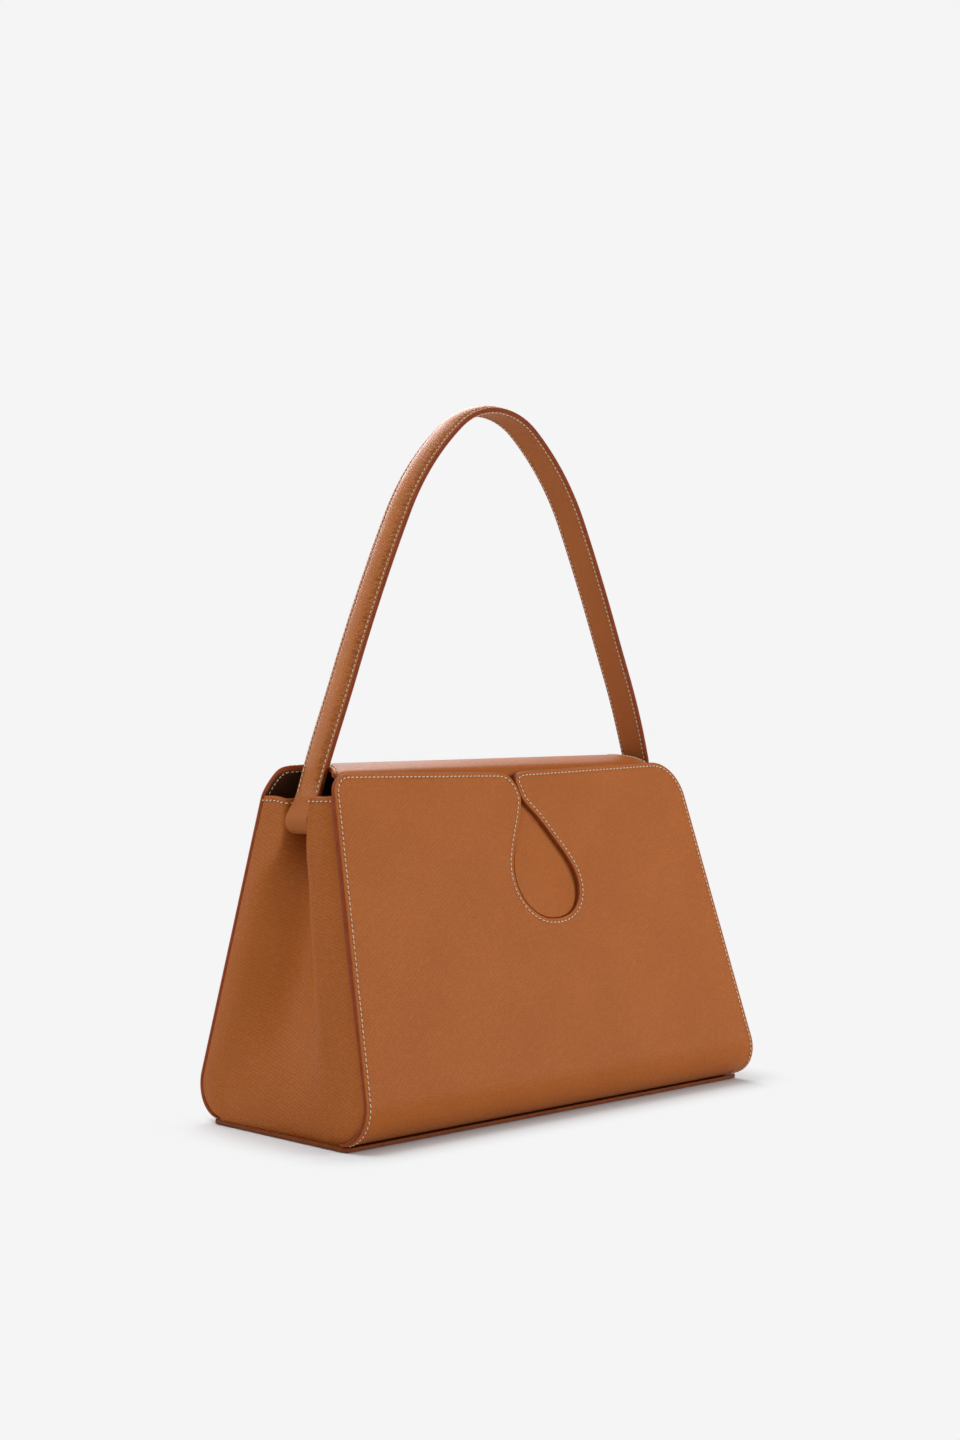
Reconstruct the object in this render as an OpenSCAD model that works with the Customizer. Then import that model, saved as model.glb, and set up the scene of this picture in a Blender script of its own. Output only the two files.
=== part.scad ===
// Structured leather shoulder bag: a trapezoid body on a flat base, a flap that
// tucks behind the front panel, pleated gussets and one arched handle.
// +X is the bag's right as the photograph shows it, -Y is its front, +Z is up.
// The origin is the middle of the base's underside.

/* [Body] */
// Width of the base and of the panels at their lower end
body_w = 300; // [220:1:380]
// Depth of the base, front edge to back edge
body_d = 118; // [96:1:150]
// Height of the front panel's top edge
body_h = 191; // [150:1:250]
// Width across the panels' side edges at the front panel's top edge
mouth_w = 263; // [200:1:340]
// Depth across the panels' outer faces at the front panel's top edge
mouth_d = 59; // [52:1:80]
// Radius of the roll where a panel turns under to the base
roll_r = 17.7; // [14:0.1:24]
// How far the middle of the roll lies inside the base's edge
roll_inset = 3.6; // [2:0.1:8]
// Length of a panel's turned-in edge on the base
turn_in = 6; // [3:0.5:10]

/* [Leather and boards] */
// Leather of the front, the back and the gussets
leather_t = 1.6; // [1:0.1:2]
// Stiffening board behind the front and back leather
board_t = 1.4; // [0.8:0.1:2]
// Leather layer that shows through the front panel's keyhole
backing_t = 1.4; // [0.8:0.1:2]
// Lining
lining_t = 0.8; // [0.5:0.1:1.2]
// Leather under the base
base_leather_t = 2.2; // [1.4:0.1:3]
// Board on the base leather
base_board_t = 2.4; // [1.4:0.1:3]
// How far the base board is set back from the base leather's edge
base_board_inset = 1.4; // [0.5:0.1:4]

/* [Front panel] */
// Corner radius at the left end of the top edge
front_left_r = 10.5; // [6:0.5:16]
// Corner radius at the right end of the top edge
front_right_r = 20; // [12:0.5:26]
// How far the top edge dips at the slit
top_dip = 2.3; // [0:0.1:4]
// Radius of the keyhole's round lower part
keyhole_r = 24; // [16:0.5:28]
// Distance from the top edge down the face to the middle of that round part
keyhole_drop = 63.5; // [56:0.5:72]
// Sideways place of that middle, to the right of the bag's middle
keyhole_x = 6.8; // [0:0.1:12]
// Distance from the top edge down the face to the keyhole's point
slit_len = 16; // [13:0.5:20]
// Width of the slit
slit_w = 0.6; // [0.5:0.1:2]
// Gap between the flap's tongue and the top of the backing layer below it
backing_gap = 1.7; // [0.5:0.1:2.5]

/* [Gussets] */
// How far a gusset is set in from the panels' side edges
gusset_inset = 4; // [2:0.1:8]
// How far the gussets' hem lies below the front panel's top edge
hem_drop = 12; // [9:0.5:16]
// Depth of the pleat at the hem
pleat_d = 26; // [20:0.5:28]
// Gap between the strap's edge and the wall of the pleat's channel
channel_gap = 1.4; // [0.8:0.1:4]
// How far the crests stand out
crest_out = 1.2; // [0:0.1:3]

/* [Flap] */
// How far the flap's highest line lies above the front panel's top edge
flap_rise = 4.7; // [3:0.1:9]
// Radius of the bend from the back panel into the flap
flap_bend_r = 25.5; // [20:0.5:28]
// How far the line that the flap turns about lies above the gussets' hem
hinge_rise = 2; // [1.5:0.1:4]
// How steeply the flap's top falls where its nose starts
flap_fall_deg = 14; // [6:1:20]
// Radius of the flap's nose
flap_nose_r = 6; // [4.5:0.5:8]
// Gap between the tongue and the front panel's inner face at its top edge
tongue_gap = 0.4; // [0.3:0.1:2]
// How far the tongue's lower edge lies below the front panel's top edge
tongue_drop = 12.4; // [9:0.1:13]
// Leather of the flap
flap_leather_t = 1.2; // [0.8:0.1:1.4]
// Board in the flap
flap_board_t = 1.0; // [0.8:0.1:1.2]
// Gap between the flap and the handle's legs, as it lies and as its tongue passes them
leg_gap = 3; // [1:0.5:12]
leg_pass_gap = 0.6; // [0.5:0.1:6]
// Gap between the strap's back edge and the place where the flap widens again
notch_gap = 2; // [1.5:0.5:5]

/* [Handle] */
// How far the handle's outer faces lie inside the panels' side edges at the loops
handle_inset = 3.7; // [3:0.1:10]
// How far the handle's highest line lies above the flap
handle_rise = 202.3; // [160:1:260]
// Width of the strap
strap_w = 20; // [16:0.5:20.5]
// Leather on the strap's outer side
strap_outer_t = 2.1; // [1.5:0.1:2.5]
// Filling between the strap's two leathers
strap_core_t = 2.0; // [1:0.1:2.5]
// Leather on the strap's inner side
strap_lining_t = 1.4; // [1:0.1:1.8]
// How far the filling stops short of each edge of the strap
strap_core_inset = 3; // [2:0.5:5]
// Lean of the legs at their lower ends, from upright
leg_lean_deg = 17; // [12:0.5:20]
// Lean of the legs where the shoulders start
shoulder_lean_deg = 25.2; // [22:0.2:30]
// Lean of the handle where its crown starts
crown_lean_deg = 48.8; // [42:0.2:56]
// Radius of the crown as a share of the radius of the shoulders
crown_share = 0.283; // [0.2:0.01:0.5]
// How far the line that the handle swings about lies above the flap
swing_rise = 9.3; // [9:0.1:14]

/* [Handle loops] */
// How far the strap's seam with its loop lies below the gussets' hem
loop_drop = 1; // [0:0.1:3]
// Length of the loop, from that seam down
loop_len = 19.5; // [17:0.5:26]
// Radius of the loop's round fold
loop_r = 6.8; // [6:0.1:7.5]
// Thickness of the loop's leather
loop_t = 2.2; // [1.5:0.1:2.5]
// How far the loop's fold stands out past the strap's outer face
loop_out = 5.1; // [3:0.1:6]

/* [Magnets] */
// Diameter of a magnet
magnet_d = 6; // [5:0.5:6]
// Half the distance between the two magnets of a pair
magnet_x = 62; // [45:1:90]

/* [Hidden] */
// Every node, in the order in which the bag is put together

// Clearance between pieces that move past each other or are sewn with a soft seam
clear = 0.3;
// Overrun of a cut past the face that it goes through
over = 1;
// Facets of a full circle in an outline
arc_fn = 72;
// Steps along a bend, a curve of an outline and a leg of the handle
bend_steps = 8;
curve_steps = 10;
leg_steps = 12;

tan_leather = [0.66, 0.38, 0.20];
light_leather = [0.72, 0.44, 0.25];
edge_paint = [0.50, 0.23, 0.16];
dark_lining = [0.27, 0.14, 0.09];
grey_board = [0.62, 0.60, 0.56];
steel = [0.70, 0.70, 0.72];
wood = [0.78, 0.62, 0.42];

// The wall's layers, measured inward from the outer face
wall_t = leather_t + board_t;
wall_z = base_leather_t + base_board_t;

// Heights, from the front panel's top edge
hem_z = body_h - hem_drop;
flap_z = body_h + flap_rise;
flap_hinge_z = hem_z + hinge_rise;
tongue_z = body_h - tongue_drop;
backing_top = tongue_z - backing_gap;
loop_top_z = hem_z - loop_drop;
loop_bottom_z = loop_top_z - loop_len;
swing_z = flap_z + swing_rise;
handle_top_z = flap_z + handle_rise;

// Middle of the roll, in the Y-Z plane of the back; the front mirrors it
roll_y = body_d / 2 - roll_inset;
roll_z = wall_z + roll_r;
// Lean of the panels, from upright: the tangent from the top edge to the roll
to_top_y = roll_y - mouth_d / 2;
to_top_z = body_h - roll_z;
lean = atan2(to_top_y, to_top_z) + asin(roll_r / norm([to_top_y, to_top_z]));

// Half depth of the outer faces at a height on the straight part
function face_y(z) = mouth_d / 2 + (body_h - z) * tan(lean);
// Half width of the panels at a height
function side_x(z) = mouth_w / 2 + (body_w - mouth_w) / 2 * (1 - z / body_h);

// Middle of the bend into the flap, and the angle at which the flap starts
bend_z = flap_z - flap_bend_r;
bend_start_z = bend_z + flap_bend_r * sin(lean);
bend_y = face_y(bend_start_z) - flap_bend_r * cos(lean);
split_deg = asin((flap_hinge_z - bend_z) / flap_bend_r);
gap_deg = clear / flap_bend_r * 180 / PI;
hinge_y = bend_y + flap_bend_r * cos(split_deg);

// Top of the flap: one wide arc that falls forward, then the nose and the tongue
tongue_y = mouth_d / 2 - wall_t / cos(lean) - tongue_gap;
nose_y = -tongue_y + flap_nose_r * (1 - sin(flap_fall_deg));
top_r = (bend_y - nose_y) / sin(flap_fall_deg);
nose_z = flap_z - top_r * (1 - cos(flap_fall_deg)) - flap_nose_r * cos(flap_fall_deg);
nose_mid_y = -tongue_y + flap_nose_r;

function arc_points(cx, cy, r, from, to, steps) =
    [for (i = [0:steps]) let (a = from + (to - from) * i / steps) [cx + r * cos(a), cy + r * sin(a)]];
function reversed(list) = [for (i = [len(list) - 1:-1:0]) list[i]];
function curve_point(a, b, c, d, t) =
    a * pow(1 - t, 3) + b * 3 * t * pow(1 - t, 2) + c * 3 * t * t * (1 - t) + d * pow(t, 3);
function curve(a, b, c, d) = [for (i = [0:curve_steps]) curve_point(a, b, c, d, i / curve_steps)];

// Turn-in, roll and straight of a panel as [depth, height], at a depth into the wall
function panel_path(off, top) = concat(
    [[roll_y - turn_in, wall_z + off]],
    arc_points(roll_y, roll_z, roll_r - off, -90, lean, bend_steps * 2),
    [[face_y(top) - off / cos(lean), top]]);
// The same for the back, which also has the first part of the bend into the flap
function back_path(off) = concat(
    panel_path(off, bend_start_z - off * sin(lean)),
    arc_points(bend_y, bend_z, flap_bend_r - off, lean, split_deg - gap_deg, bend_steps / 4));
// The flap from its hinge line to the tongue's lower edge
function flap_path(off) = concat(
    arc_points(bend_y, bend_z, flap_bend_r - off, split_deg, 90, bend_steps),
    arc_points(bend_y, flap_z - top_r, top_r - off, 90, 90 + flap_fall_deg, bend_steps),
    arc_points(nose_mid_y, nose_z, flap_nose_r - off, 90 + flap_fall_deg, 180, bend_steps),
    [[-tongue_y + off, tongue_z]]);

// A polygon in the Y-Z plane, run along X over the whole width
module along_x(points, half) {
    rotate([90, 0, 90]) translate([0, 0, -half]) linear_extrude(2 * half) polygon(points);
}
// A polygon in the X-Z plane, run along Y between two depths
module along_y(points, y0, y1) {
    translate([0, y1, 0]) rotate([90, 0, 0]) linear_extrude(y1 - y0) polygon(points);
}
module band(outer, inner) {
    along_x(concat(outer, reversed(inner)), body_w / 2 + over);
}
module as_front() {
    mirror([0, 1, 0]) children();
}

// Outline of a panel or lining in the X-Z plane: slanted sides set in by a margin
function side_outline(inset, top) = [
    [-side_x(0) + inset, 0], [side_x(0) - inset, 0],
    [side_x(top) - inset, top], [-side_x(top) + inset, top]];

// Base: leather, board and a covered insert between the panels' turned-in edges
module base_sheet(w, d, z, t) {
    translate([-w / 2, -d / 2, z]) cube([w, d, t]);
}
module base_panel() {
    color(edge_paint) base_sheet(body_w, body_d, 0, base_leather_t);
}
module base_board() {
    color(grey_board) base_sheet(body_w - 2 * base_board_inset, body_d - 2 * base_board_inset,
        base_leather_t, base_board_t);
}
insert_d = 2 * (roll_y - turn_in - clear);
module base_insert() {
    color(dark_lining) base_sheet(body_w - 2 * gusset_inset, insert_d, wall_z, wall_t);
}

// Back wall: leather, board and lining, each following the one outside it
back_top = flap_z;
lining_side = gusset_inset + leather_t + lining_t + clear;
module back_panel() {
    color(tan_leather) intersection() {
        band(back_path(0), back_path(leather_t));
        along_y(side_outline(0, back_top), -body_d, body_d);
    }
}
module back_board() {
    color(grey_board) intersection() {
        band(back_path(leather_t), back_path(wall_t));
        along_y(side_outline(0, back_top), -body_d, body_d);
    }
}
module back_lining() {
    color(dark_lining) intersection() {
        band(back_path(wall_t), back_path(wall_t + lining_t));
        along_y(side_outline(lining_side, back_top), -body_d, body_d);
    }
}

// Height on the front face of a point at a distance down the face
function down(s) = body_h - s * cos(lean);
// The slit lies to the left of the keyhole's middle by a share of its radius
slit_share = 0.325;
slit_x = keyhole_x - keyhole_r * slit_share;
// Width of the left part's wide corner and of the right part's small one at the slit
corner_in = 14;
small_corner = 3.5;
// Distance down the face to the top edge at the slit
dip = top_dip / cos(lean);
// How far the slit runs on into the keyhole
slit_run_in = 3;
function slit_outline() = concat(
    [[slit_x - corner_in, body_h + over]],
    curve([slit_x - corner_in, down(dip)], [slit_x - corner_in / 3, down(dip)],
        [slit_x - slit_w / 2, down(slit_len / 2)], [slit_x - slit_w / 2, down(slit_len)]),
    [[slit_x - slit_w / 2, down(slit_len + slit_run_in)],
        [slit_x + slit_w / 2, down(slit_len + slit_run_in)]],
    curve([slit_x + slit_w / 2, down(slit_len)], [slit_x - slit_w, down(slit_len / 3)],
        [slit_x - slit_w, down(dip)], [slit_x + small_corner, down(dip)]),
    [[slit_x + small_corner, body_h + over]]);

// Keyhole: two curves from the slit's point, and a half circle below
side_reach = keyhole_drop - slit_len;
keyhole_left = keyhole_x - keyhole_r;
keyhole_right = keyhole_x + keyhole_r;
// Where the curves' inner points lie, as shares of the keyhole's radius and reach
keyhole_left_shares = [[0.12, 0.23], [1, 0.67]];
keyhole_right_shares = [[0.30, 0.24], [0.96, 0.80]];
function keyhole_side(edge, shares) = curve(
    [slit_x, slit_len],
    [slit_x + (edge - slit_x) * shares[0][0], slit_len + side_reach * shares[0][1]],
    [slit_x + (edge - slit_x) * shares[1][0], slit_len + side_reach * shares[1][1]],
    [edge, keyhole_drop]);
function keyhole_outline() = [for (p = concat(
    keyhole_side(keyhole_right, keyhole_right_shares),
    [for (i = [1:arc_fn / 2 - 1]) let (a = 360 * i / arc_fn)
        [keyhole_x + keyhole_r * cos(a), keyhole_drop + keyhole_r * sin(a)]],
    reversed(keyhole_side(keyhole_left, keyhole_left_shares)))) [p[0], down(p[1])]];

// Front outline: slanted sides, two round corners and a top edge that dips to the slit
side_slope = atan2((body_w - mouth_w) / 2, body_h);
function corner_points(r, side) = let (
        cz = body_h - r,
        cx = side_x(cz) - r / cos(side_slope))
    [for (i = [0:curve_steps]) let (a = side_slope + (90 - side_slope) * i / curve_steps)
        [side * (cx + r * cos(a)), cz + r * sin(a)]];
function front_outline() = concat(
    [[-side_x(0), 0], [side_x(0), 0]],
    corner_points(front_right_r, 1),
    [[slit_x, down(dip)]],
    reversed(corner_points(front_left_r, -1)));

module front_layer(off, t) {
    difference() {
        intersection() {
            as_front() band(panel_path(off, body_h + over), panel_path(off + t, body_h + over));
            along_y(front_outline(), -body_d, 0);
        }
        along_y(slit_outline(), -body_d, 0);
        along_y(keyhole_outline(), -body_d, 0);
    }
}
magnet_z = (tongue_z + nose_z) / 2;
// A disc whose flat faces are parallel to the front panel, at a depth into the wall
module front_disc(d, off, t) {
    for (side = [-1, 1])
        translate([side * magnet_x, -face_y(magnet_z), magnet_z])
            rotate([90 - lean, 0, 0]) translate([0, 0, -off - t]) cylinder(d = d, h = t, $fn = arc_fn);
}
module front_panel() {
    color(tan_leather) front_layer(0, leather_t);
}
module front_board() {
    color(grey_board) difference() {
        front_layer(leather_t, board_t);
        front_disc(magnet_d + clear, leather_t - over, board_t + 2 * over);
    }
}
module front_magnets() {
    color(steel) front_disc(magnet_d, leather_t + clear / 2, board_t - clear);
}
module front_backing() {
    color(light_leather) intersection() {
        as_front() band(panel_path(wall_t, body_h), panel_path(wall_t + backing_t, body_h));
        along_y(side_outline(lining_side, backing_top), -body_d, 0);
    }
}
module front_lining() {
    color(dark_lining) intersection() {
        as_front() band(panel_path(wall_t + backing_t, body_h),
            panel_path(wall_t + backing_t + lining_t, body_h));
        along_y(side_outline(lining_side, backing_top), -body_d, 0);
    }
}

// Gussets: a sheet between the panels with a pleat that opens towards the hem.
// Rows run from the base up to the hem, and each row runs from front to back.
seam_r = roll_r - wall_t - clear;
roll_rows = [for (i = [0:bend_steps]) let (a = -90 + (90 + lean) * i / bend_steps)
    [roll_y + seam_r * cos(a), roll_z + seam_r * sin(a)]];
straight_from = roll_rows[bend_steps][1];
function straight_seam_y(z) = face_y(z) - (wall_t + clear) / cos(lean);
// Above its start the back's bend into the flap turns the wall further in
function bend_seam_y(z) = z <= bend_start_z ? straight_seam_y(z)
    : bend_y + sqrt(pow(flap_bend_r - wall_t - clear, 2) - pow(z - bend_z, 2));
straight_rows = [for (i = [1:bend_steps]) let (
        z = straight_from + (hem_z - straight_from) * i / bend_steps)
    [min(straight_seam_y(z), bend_seam_y(z)), z]];
gusset_rows = concat(roll_rows, straight_rows);

// Where the pleat starts, as a share of the hem's height, and where the inner corners
// of its channel lie, as a share of its depth. The depth grows by this power.
pleat_start_share = 0.25;
inner_corner_share = 0.55;
pleat_power = 1.5;
pleat_z = hem_z * pleat_start_share;
crest_y = strap_w / 2 + channel_gap;
// Depth at which a sheet folds enough for its thickness to turn with it
fold_full = 10;
function pleat_depth(z) = z <= pleat_z ? 0 : pleat_d * pow((z - pleat_z) / (hem_z - pleat_z), pleat_power);
// One row's points at a depth into the sheet, as [x, y, z], for the bag's right side
function gusset_row(row, off) = let (
        z = row[1], seam = row[0], d = pleat_depth(z), k = min(1, d / fold_full),
        x = side_x(z) - gusset_inset, out = crest_out * k,
        c = crest_y + off * k, turn = inner_corner_share * k)
    [[x - off, -seam, z],
     [x + out - off, -c, z],
     [x - inner_corner_share * d - off * (1 - turn), -c, z],
     [x - d - off * (1 + turn / 2), 0, z],
     [x - inner_corner_share * d - off * (1 - turn), c, z],
     [x + out - off, c, z],
     [x - off, seam, z]];
row_len = 7;

// A closed sheet between two grids of points, as triangles
function quad(a, b, c, d) = [[a, b, c], [a, c, d]];
function grid_faces(rows, cols) = let (n = rows * cols) [
    for (i = [0:rows - 2]) for (j = [0:cols - 2]) let (a = i * cols + j)
        for (f = concat(
            quad(a, a + cols, a + cols + 1, a + 1),
            quad(n + a, n + a + 1, n + a + cols + 1, n + a + cols))) f,
    for (i = [0:rows - 2]) let (a = i * cols, b = a + cols - 1)
        for (f = concat(
            quad(a, n + a, n + a + cols, a + cols),
            quad(b, b + cols, n + b + cols, n + b))) f,
    for (j = [0:cols - 2]) let (b = (rows - 1) * cols + j)
        for (f = concat(
            quad(j, j + 1, n + j + 1, n + j),
            quad(b, n + b, n + b + 1, b + 1))) f];
module gusset_sheet(off, t) {
    rows = len(gusset_rows);
    polyhedron(points = concat(
            [for (r = gusset_rows) for (p = gusset_row(r, off)) p],
            [for (r = gusset_rows) for (p = gusset_row(r, off + t)) p]),
        faces = grid_faces(rows, row_len));
}
module as_left() {
    mirror([1, 0, 0]) children();
}
module right_gusset() {
    color(tan_leather) gusset_sheet(0, leather_t);
}
module left_gusset() {
    as_left() right_gusset();
}
module right_gusset_lining() {
    color(dark_lining) gusset_sheet(leather_t, lining_t);
}
module left_gusset_lining() {
    as_left() right_gusset_lining();
}

// Handle: its outer face is three arcs a side, which meet at three leans. The two
// radii that are free follow from the span and the rise.
strap_t = strap_outer_t + strap_core_t + strap_lining_t;
handle_x = side_x(loop_top_z) - handle_inset;
leg_a = cos(leg_lean_deg) - cos(shoulder_lean_deg);
leg_b = sin(shoulder_lean_deg) - sin(leg_lean_deg);
top_a = cos(shoulder_lean_deg) - cos(crown_lean_deg) + crown_share * cos(crown_lean_deg);
top_b = sin(crown_lean_deg) - sin(shoulder_lean_deg) + crown_share * (1 - sin(crown_lean_deg));
rise = handle_top_z - loop_top_z;
arch_det = leg_a * top_b - leg_b * top_a;
leg_r = (handle_x * top_b - rise * top_a) / arch_det;
shoulder_r = (leg_a * rise - leg_b * handle_x) / arch_det;
crown_r = crown_share * shoulder_r;
leg_mid = [handle_x - leg_r * cos(leg_lean_deg), loop_top_z - leg_r * sin(leg_lean_deg)];
shoulder_mid = leg_mid + (leg_r - shoulder_r) * [cos(shoulder_lean_deg), sin(shoulder_lean_deg)];
crown_mid = shoulder_mid + (shoulder_r - crown_r) * [cos(crown_lean_deg), sin(crown_lean_deg)];
// Half the distance between the legs' inner faces at a height below the shoulders
function leg_inner_x(z) = leg_mid[0] + sqrt(pow(leg_r - strap_t, 2) - pow(z - leg_mid[1], 2));
function half_arch(off) = concat(
    arc_points(leg_mid[0], leg_mid[1], leg_r - off, leg_lean_deg, shoulder_lean_deg, leg_steps),
    arc_points(shoulder_mid[0], shoulder_mid[1], shoulder_r - off,
        shoulder_lean_deg, crown_lean_deg, leg_steps),
    arc_points(crown_mid[0], crown_mid[1], crown_r - off, crown_lean_deg, 90, leg_steps));
function arch(off) = let (half = half_arch(off))
    concat(half, [for (i = [len(half) - 2:-1:0]) [-half[i][0], half[i][1]]]);

module strap_band(off, t, w) {
    along_y(concat(arch(off), reversed(arch(off + t))), -w / 2, w / 2);
}
// What swings: all above the swing line, with round ends about it
module swing_part(w) {
    rotate([90, 0, 90]) translate([0, 0, -handle_x - over]) linear_extrude(2 * (handle_x + over)) {
        translate([-w / 2, swing_z]) square([w, handle_top_z - swing_z + over]);
        translate([0, swing_z]) circle(d = w, $fn = arc_fn);
    }
}
module handle_outer() {
    color(tan_leather) intersection() {
        strap_band(0, strap_outer_t, strap_w);
        swing_part(strap_w);
    }
}
core_w = strap_w - 2 * strap_core_inset;
module handle_core() {
    color(grey_board) intersection() {
        strap_band(strap_outer_t, strap_core_t, core_w);
        swing_part(core_w);
    }
}
// The lining comes up round the filling to meet the outer leather along both edges
module handle_lining() {
    color(light_leather) intersection() {
        difference() {
            strap_band(strap_outer_t, strap_core_t + strap_lining_t, strap_w);
            intersection() {
                strap_band(strap_outer_t - over, strap_core_t + over, core_w);
                swing_part(core_w);
            }
        }
        swing_part(strap_w);
    }
}
// The strap's lower ends, between the swing line and the loops
end_top_z = swing_z - strap_w / 2 - clear;
module handle_end(side) {
    color(tan_leather) intersection() {
        strap_band(0, strap_t, strap_w);
        translate([side > 0 ? 0 : -handle_x - over, -strap_w / 2, loop_top_z])
            cube([handle_x + over, strap_w, end_top_z - loop_top_z]);
    }
}
module left_handle_end() {
    handle_end(-1);
}
module right_handle_end() {
    handle_end(1);
}

// Loops: leather folded round a dowel, flush with the strap's end at the top
loop_x = handle_x + loop_out - loop_r;
loop_mid_z = loop_bottom_z + loop_r;
strap_in_x = handle_x - strap_t / cos(leg_lean_deg);
// The fold's round part runs from a little above its outer side to the same inside
fold_over_deg = 25;
function loop_outline() = concat(
    [[handle_x, loop_top_z]],
    arc_points(loop_x, loop_mid_z, loop_r, fold_over_deg, -180 - fold_over_deg, arc_fn / 2),
    [[strap_in_x, loop_top_z]]);
dowel_r = loop_r - loop_t - clear;
module right_handle_loop() {
    color(light_leather) difference() {
        along_y(loop_outline(), -strap_w / 2, strap_w / 2);
        translate([loop_x, strap_w / 2 + over, loop_mid_z]) rotate([90, 0, 0])
            cylinder(r = loop_r - loop_t, h = strap_w + 2 * over, $fn = arc_fn);
    }
}
module left_handle_loop() {
    as_left() right_handle_loop();
}
// The dowel reaches from wall to wall of the pleat's channel
dowel_len = 2 * (crest_y - clear);
module right_loop_dowel() {
    color(wood) translate([loop_x, dowel_len / 2, loop_mid_z]) rotate([90, 0, 0])
        cylinder(r = dowel_r, h = dowel_len, $fn = arc_fn);
}
module left_loop_dowel() {
    as_left() right_loop_dowel();
}

// Flap: its plan has a notch behind each leg of the handle, and narrows from there
// to the tongue, so that it passes between the legs as it opens
notch_r = 6;
notch_corner_r = 4;
waist_x = leg_inner_x(flap_z) - leg_gap;
waist_y = strap_w / 2 + notch_gap;
// Height at which the tongue, which turns about the hinge line, leaves the legs behind
pass_z = flap_hinge_z + sqrt(pow(hinge_y + tongue_y, 2) - pow(hinge_y - strap_w / 2, 2));
tongue_x = leg_inner_x(pass_z) - leg_pass_gap;
notch_end_x = side_x(flap_hinge_z) - notch_corner_r;
notch_end_y = waist_y + notch_r;
function flap_half_plan() = concat(
    [[side_x(flap_hinge_z), hinge_y + over]],
    arc_points(notch_end_x - notch_corner_r, notch_end_y + notch_corner_r, notch_corner_r,
        0, -90, curve_steps),
    arc_points(waist_x + notch_r, waist_y, notch_r, 90, 180, curve_steps),
    [[tongue_x, -tongue_y - over]]);
function flap_plan() = concat(flap_half_plan(),
    [for (p = reversed(flap_half_plan())) [-p[0], p[1]]]);
module flap_layer(off, t) {
    intersection() {
        band(flap_path(off), flap_path(off + t));
        linear_extrude(flap_z + over) polygon(flap_plan());
    }
}
module tongue_disc(d, off, t) {
    for (side = [-1, 1])
        translate([side * magnet_x, -tongue_y + off + t, magnet_z])
            rotate([90, 0, 0]) cylinder(d = d, h = t, $fn = arc_fn);
}
module flap_leather() {
    color(tan_leather) flap_layer(0, flap_leather_t);
}
module flap_board() {
    color(grey_board) difference() {
        flap_layer(flap_leather_t, flap_board_t);
        tongue_disc(magnet_d + clear, flap_leather_t - over, flap_board_t + 2 * over);
    }
}
module flap_lining() {
    color(dark_lining) flap_layer(flap_leather_t + flap_board_t, lining_t);
}
module flap_magnets() {
    color(steel) tongue_disc(magnet_d, flap_leather_t + clear / 2, flap_board_t - clear);
}

base_panel();
base_board();
base_insert();
back_panel();
back_board();
back_lining();
front_panel();
front_board();
front_backing();
front_lining();
front_magnets();
left_gusset();
right_gusset();
left_gusset_lining();
right_gusset_lining();
left_handle_loop();
right_handle_loop();
left_loop_dowel();
right_loop_dowel();
left_handle_end();
right_handle_end();
handle_outer();
handle_core();
handle_lining();
flap_leather();
flap_board();
flap_lining();
flap_magnets();
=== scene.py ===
import math

import bpy
import numpy as np
from mathutils import Matrix, Vector
from mathutils.geometry import delaunay_2d_cdt


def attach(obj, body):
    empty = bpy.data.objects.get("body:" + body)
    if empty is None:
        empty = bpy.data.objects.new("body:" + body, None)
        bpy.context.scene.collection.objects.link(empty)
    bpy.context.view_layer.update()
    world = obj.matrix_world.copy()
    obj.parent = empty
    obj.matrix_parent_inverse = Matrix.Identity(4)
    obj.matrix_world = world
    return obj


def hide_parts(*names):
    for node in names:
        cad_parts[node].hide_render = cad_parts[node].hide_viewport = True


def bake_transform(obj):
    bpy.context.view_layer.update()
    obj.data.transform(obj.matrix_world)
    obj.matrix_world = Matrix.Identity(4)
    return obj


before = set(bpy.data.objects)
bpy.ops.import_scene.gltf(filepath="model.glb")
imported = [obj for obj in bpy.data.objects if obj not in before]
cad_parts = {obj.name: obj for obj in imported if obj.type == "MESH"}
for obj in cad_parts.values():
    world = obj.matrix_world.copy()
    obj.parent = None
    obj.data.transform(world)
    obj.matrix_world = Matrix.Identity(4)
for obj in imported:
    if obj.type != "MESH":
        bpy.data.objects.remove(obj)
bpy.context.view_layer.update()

# Camera. The bag was photographed from its front left, a little above half its height,
# with a long lens held almost level. Its place is in metres.
CAMERA_PLACE = (-0.7897, -0.87082, 0.21364)
YAW, ROLL, RISE = math.radians(42.173), -0.01775, 0.00371


def placed(name, data):
    """An object made from its data and put in the scene."""
    made = bpy.data.objects.new(name, data)
    bpy.context.scene.collection.objects.link(made)
    return made


camera_data = bpy.data.cameras.new("camera")
camera_data.sensor_fit = "VERTICAL"
camera_data.sensor_height = 36
camera_data.lens = 51.17
camera = placed("camera", camera_data)
bpy.context.scene.camera = camera
forward = Vector((math.sin(YAW), math.cos(YAW), RISE)).normalized()
level_right = Vector((math.cos(YAW), -math.sin(YAW), 0))
level_up = level_right.cross(forward)
camera_right = math.cos(ROLL) * level_right + math.sin(ROLL) * level_up
camera_up = math.cos(ROLL) * level_up - math.sin(ROLL) * level_right
camera_turn = Matrix((camera_right, camera_up, -forward)).transposed()
camera.matrix_world = Matrix.Translation(CAMERA_PLACE) @ camera_turn.to_4x4()

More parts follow.
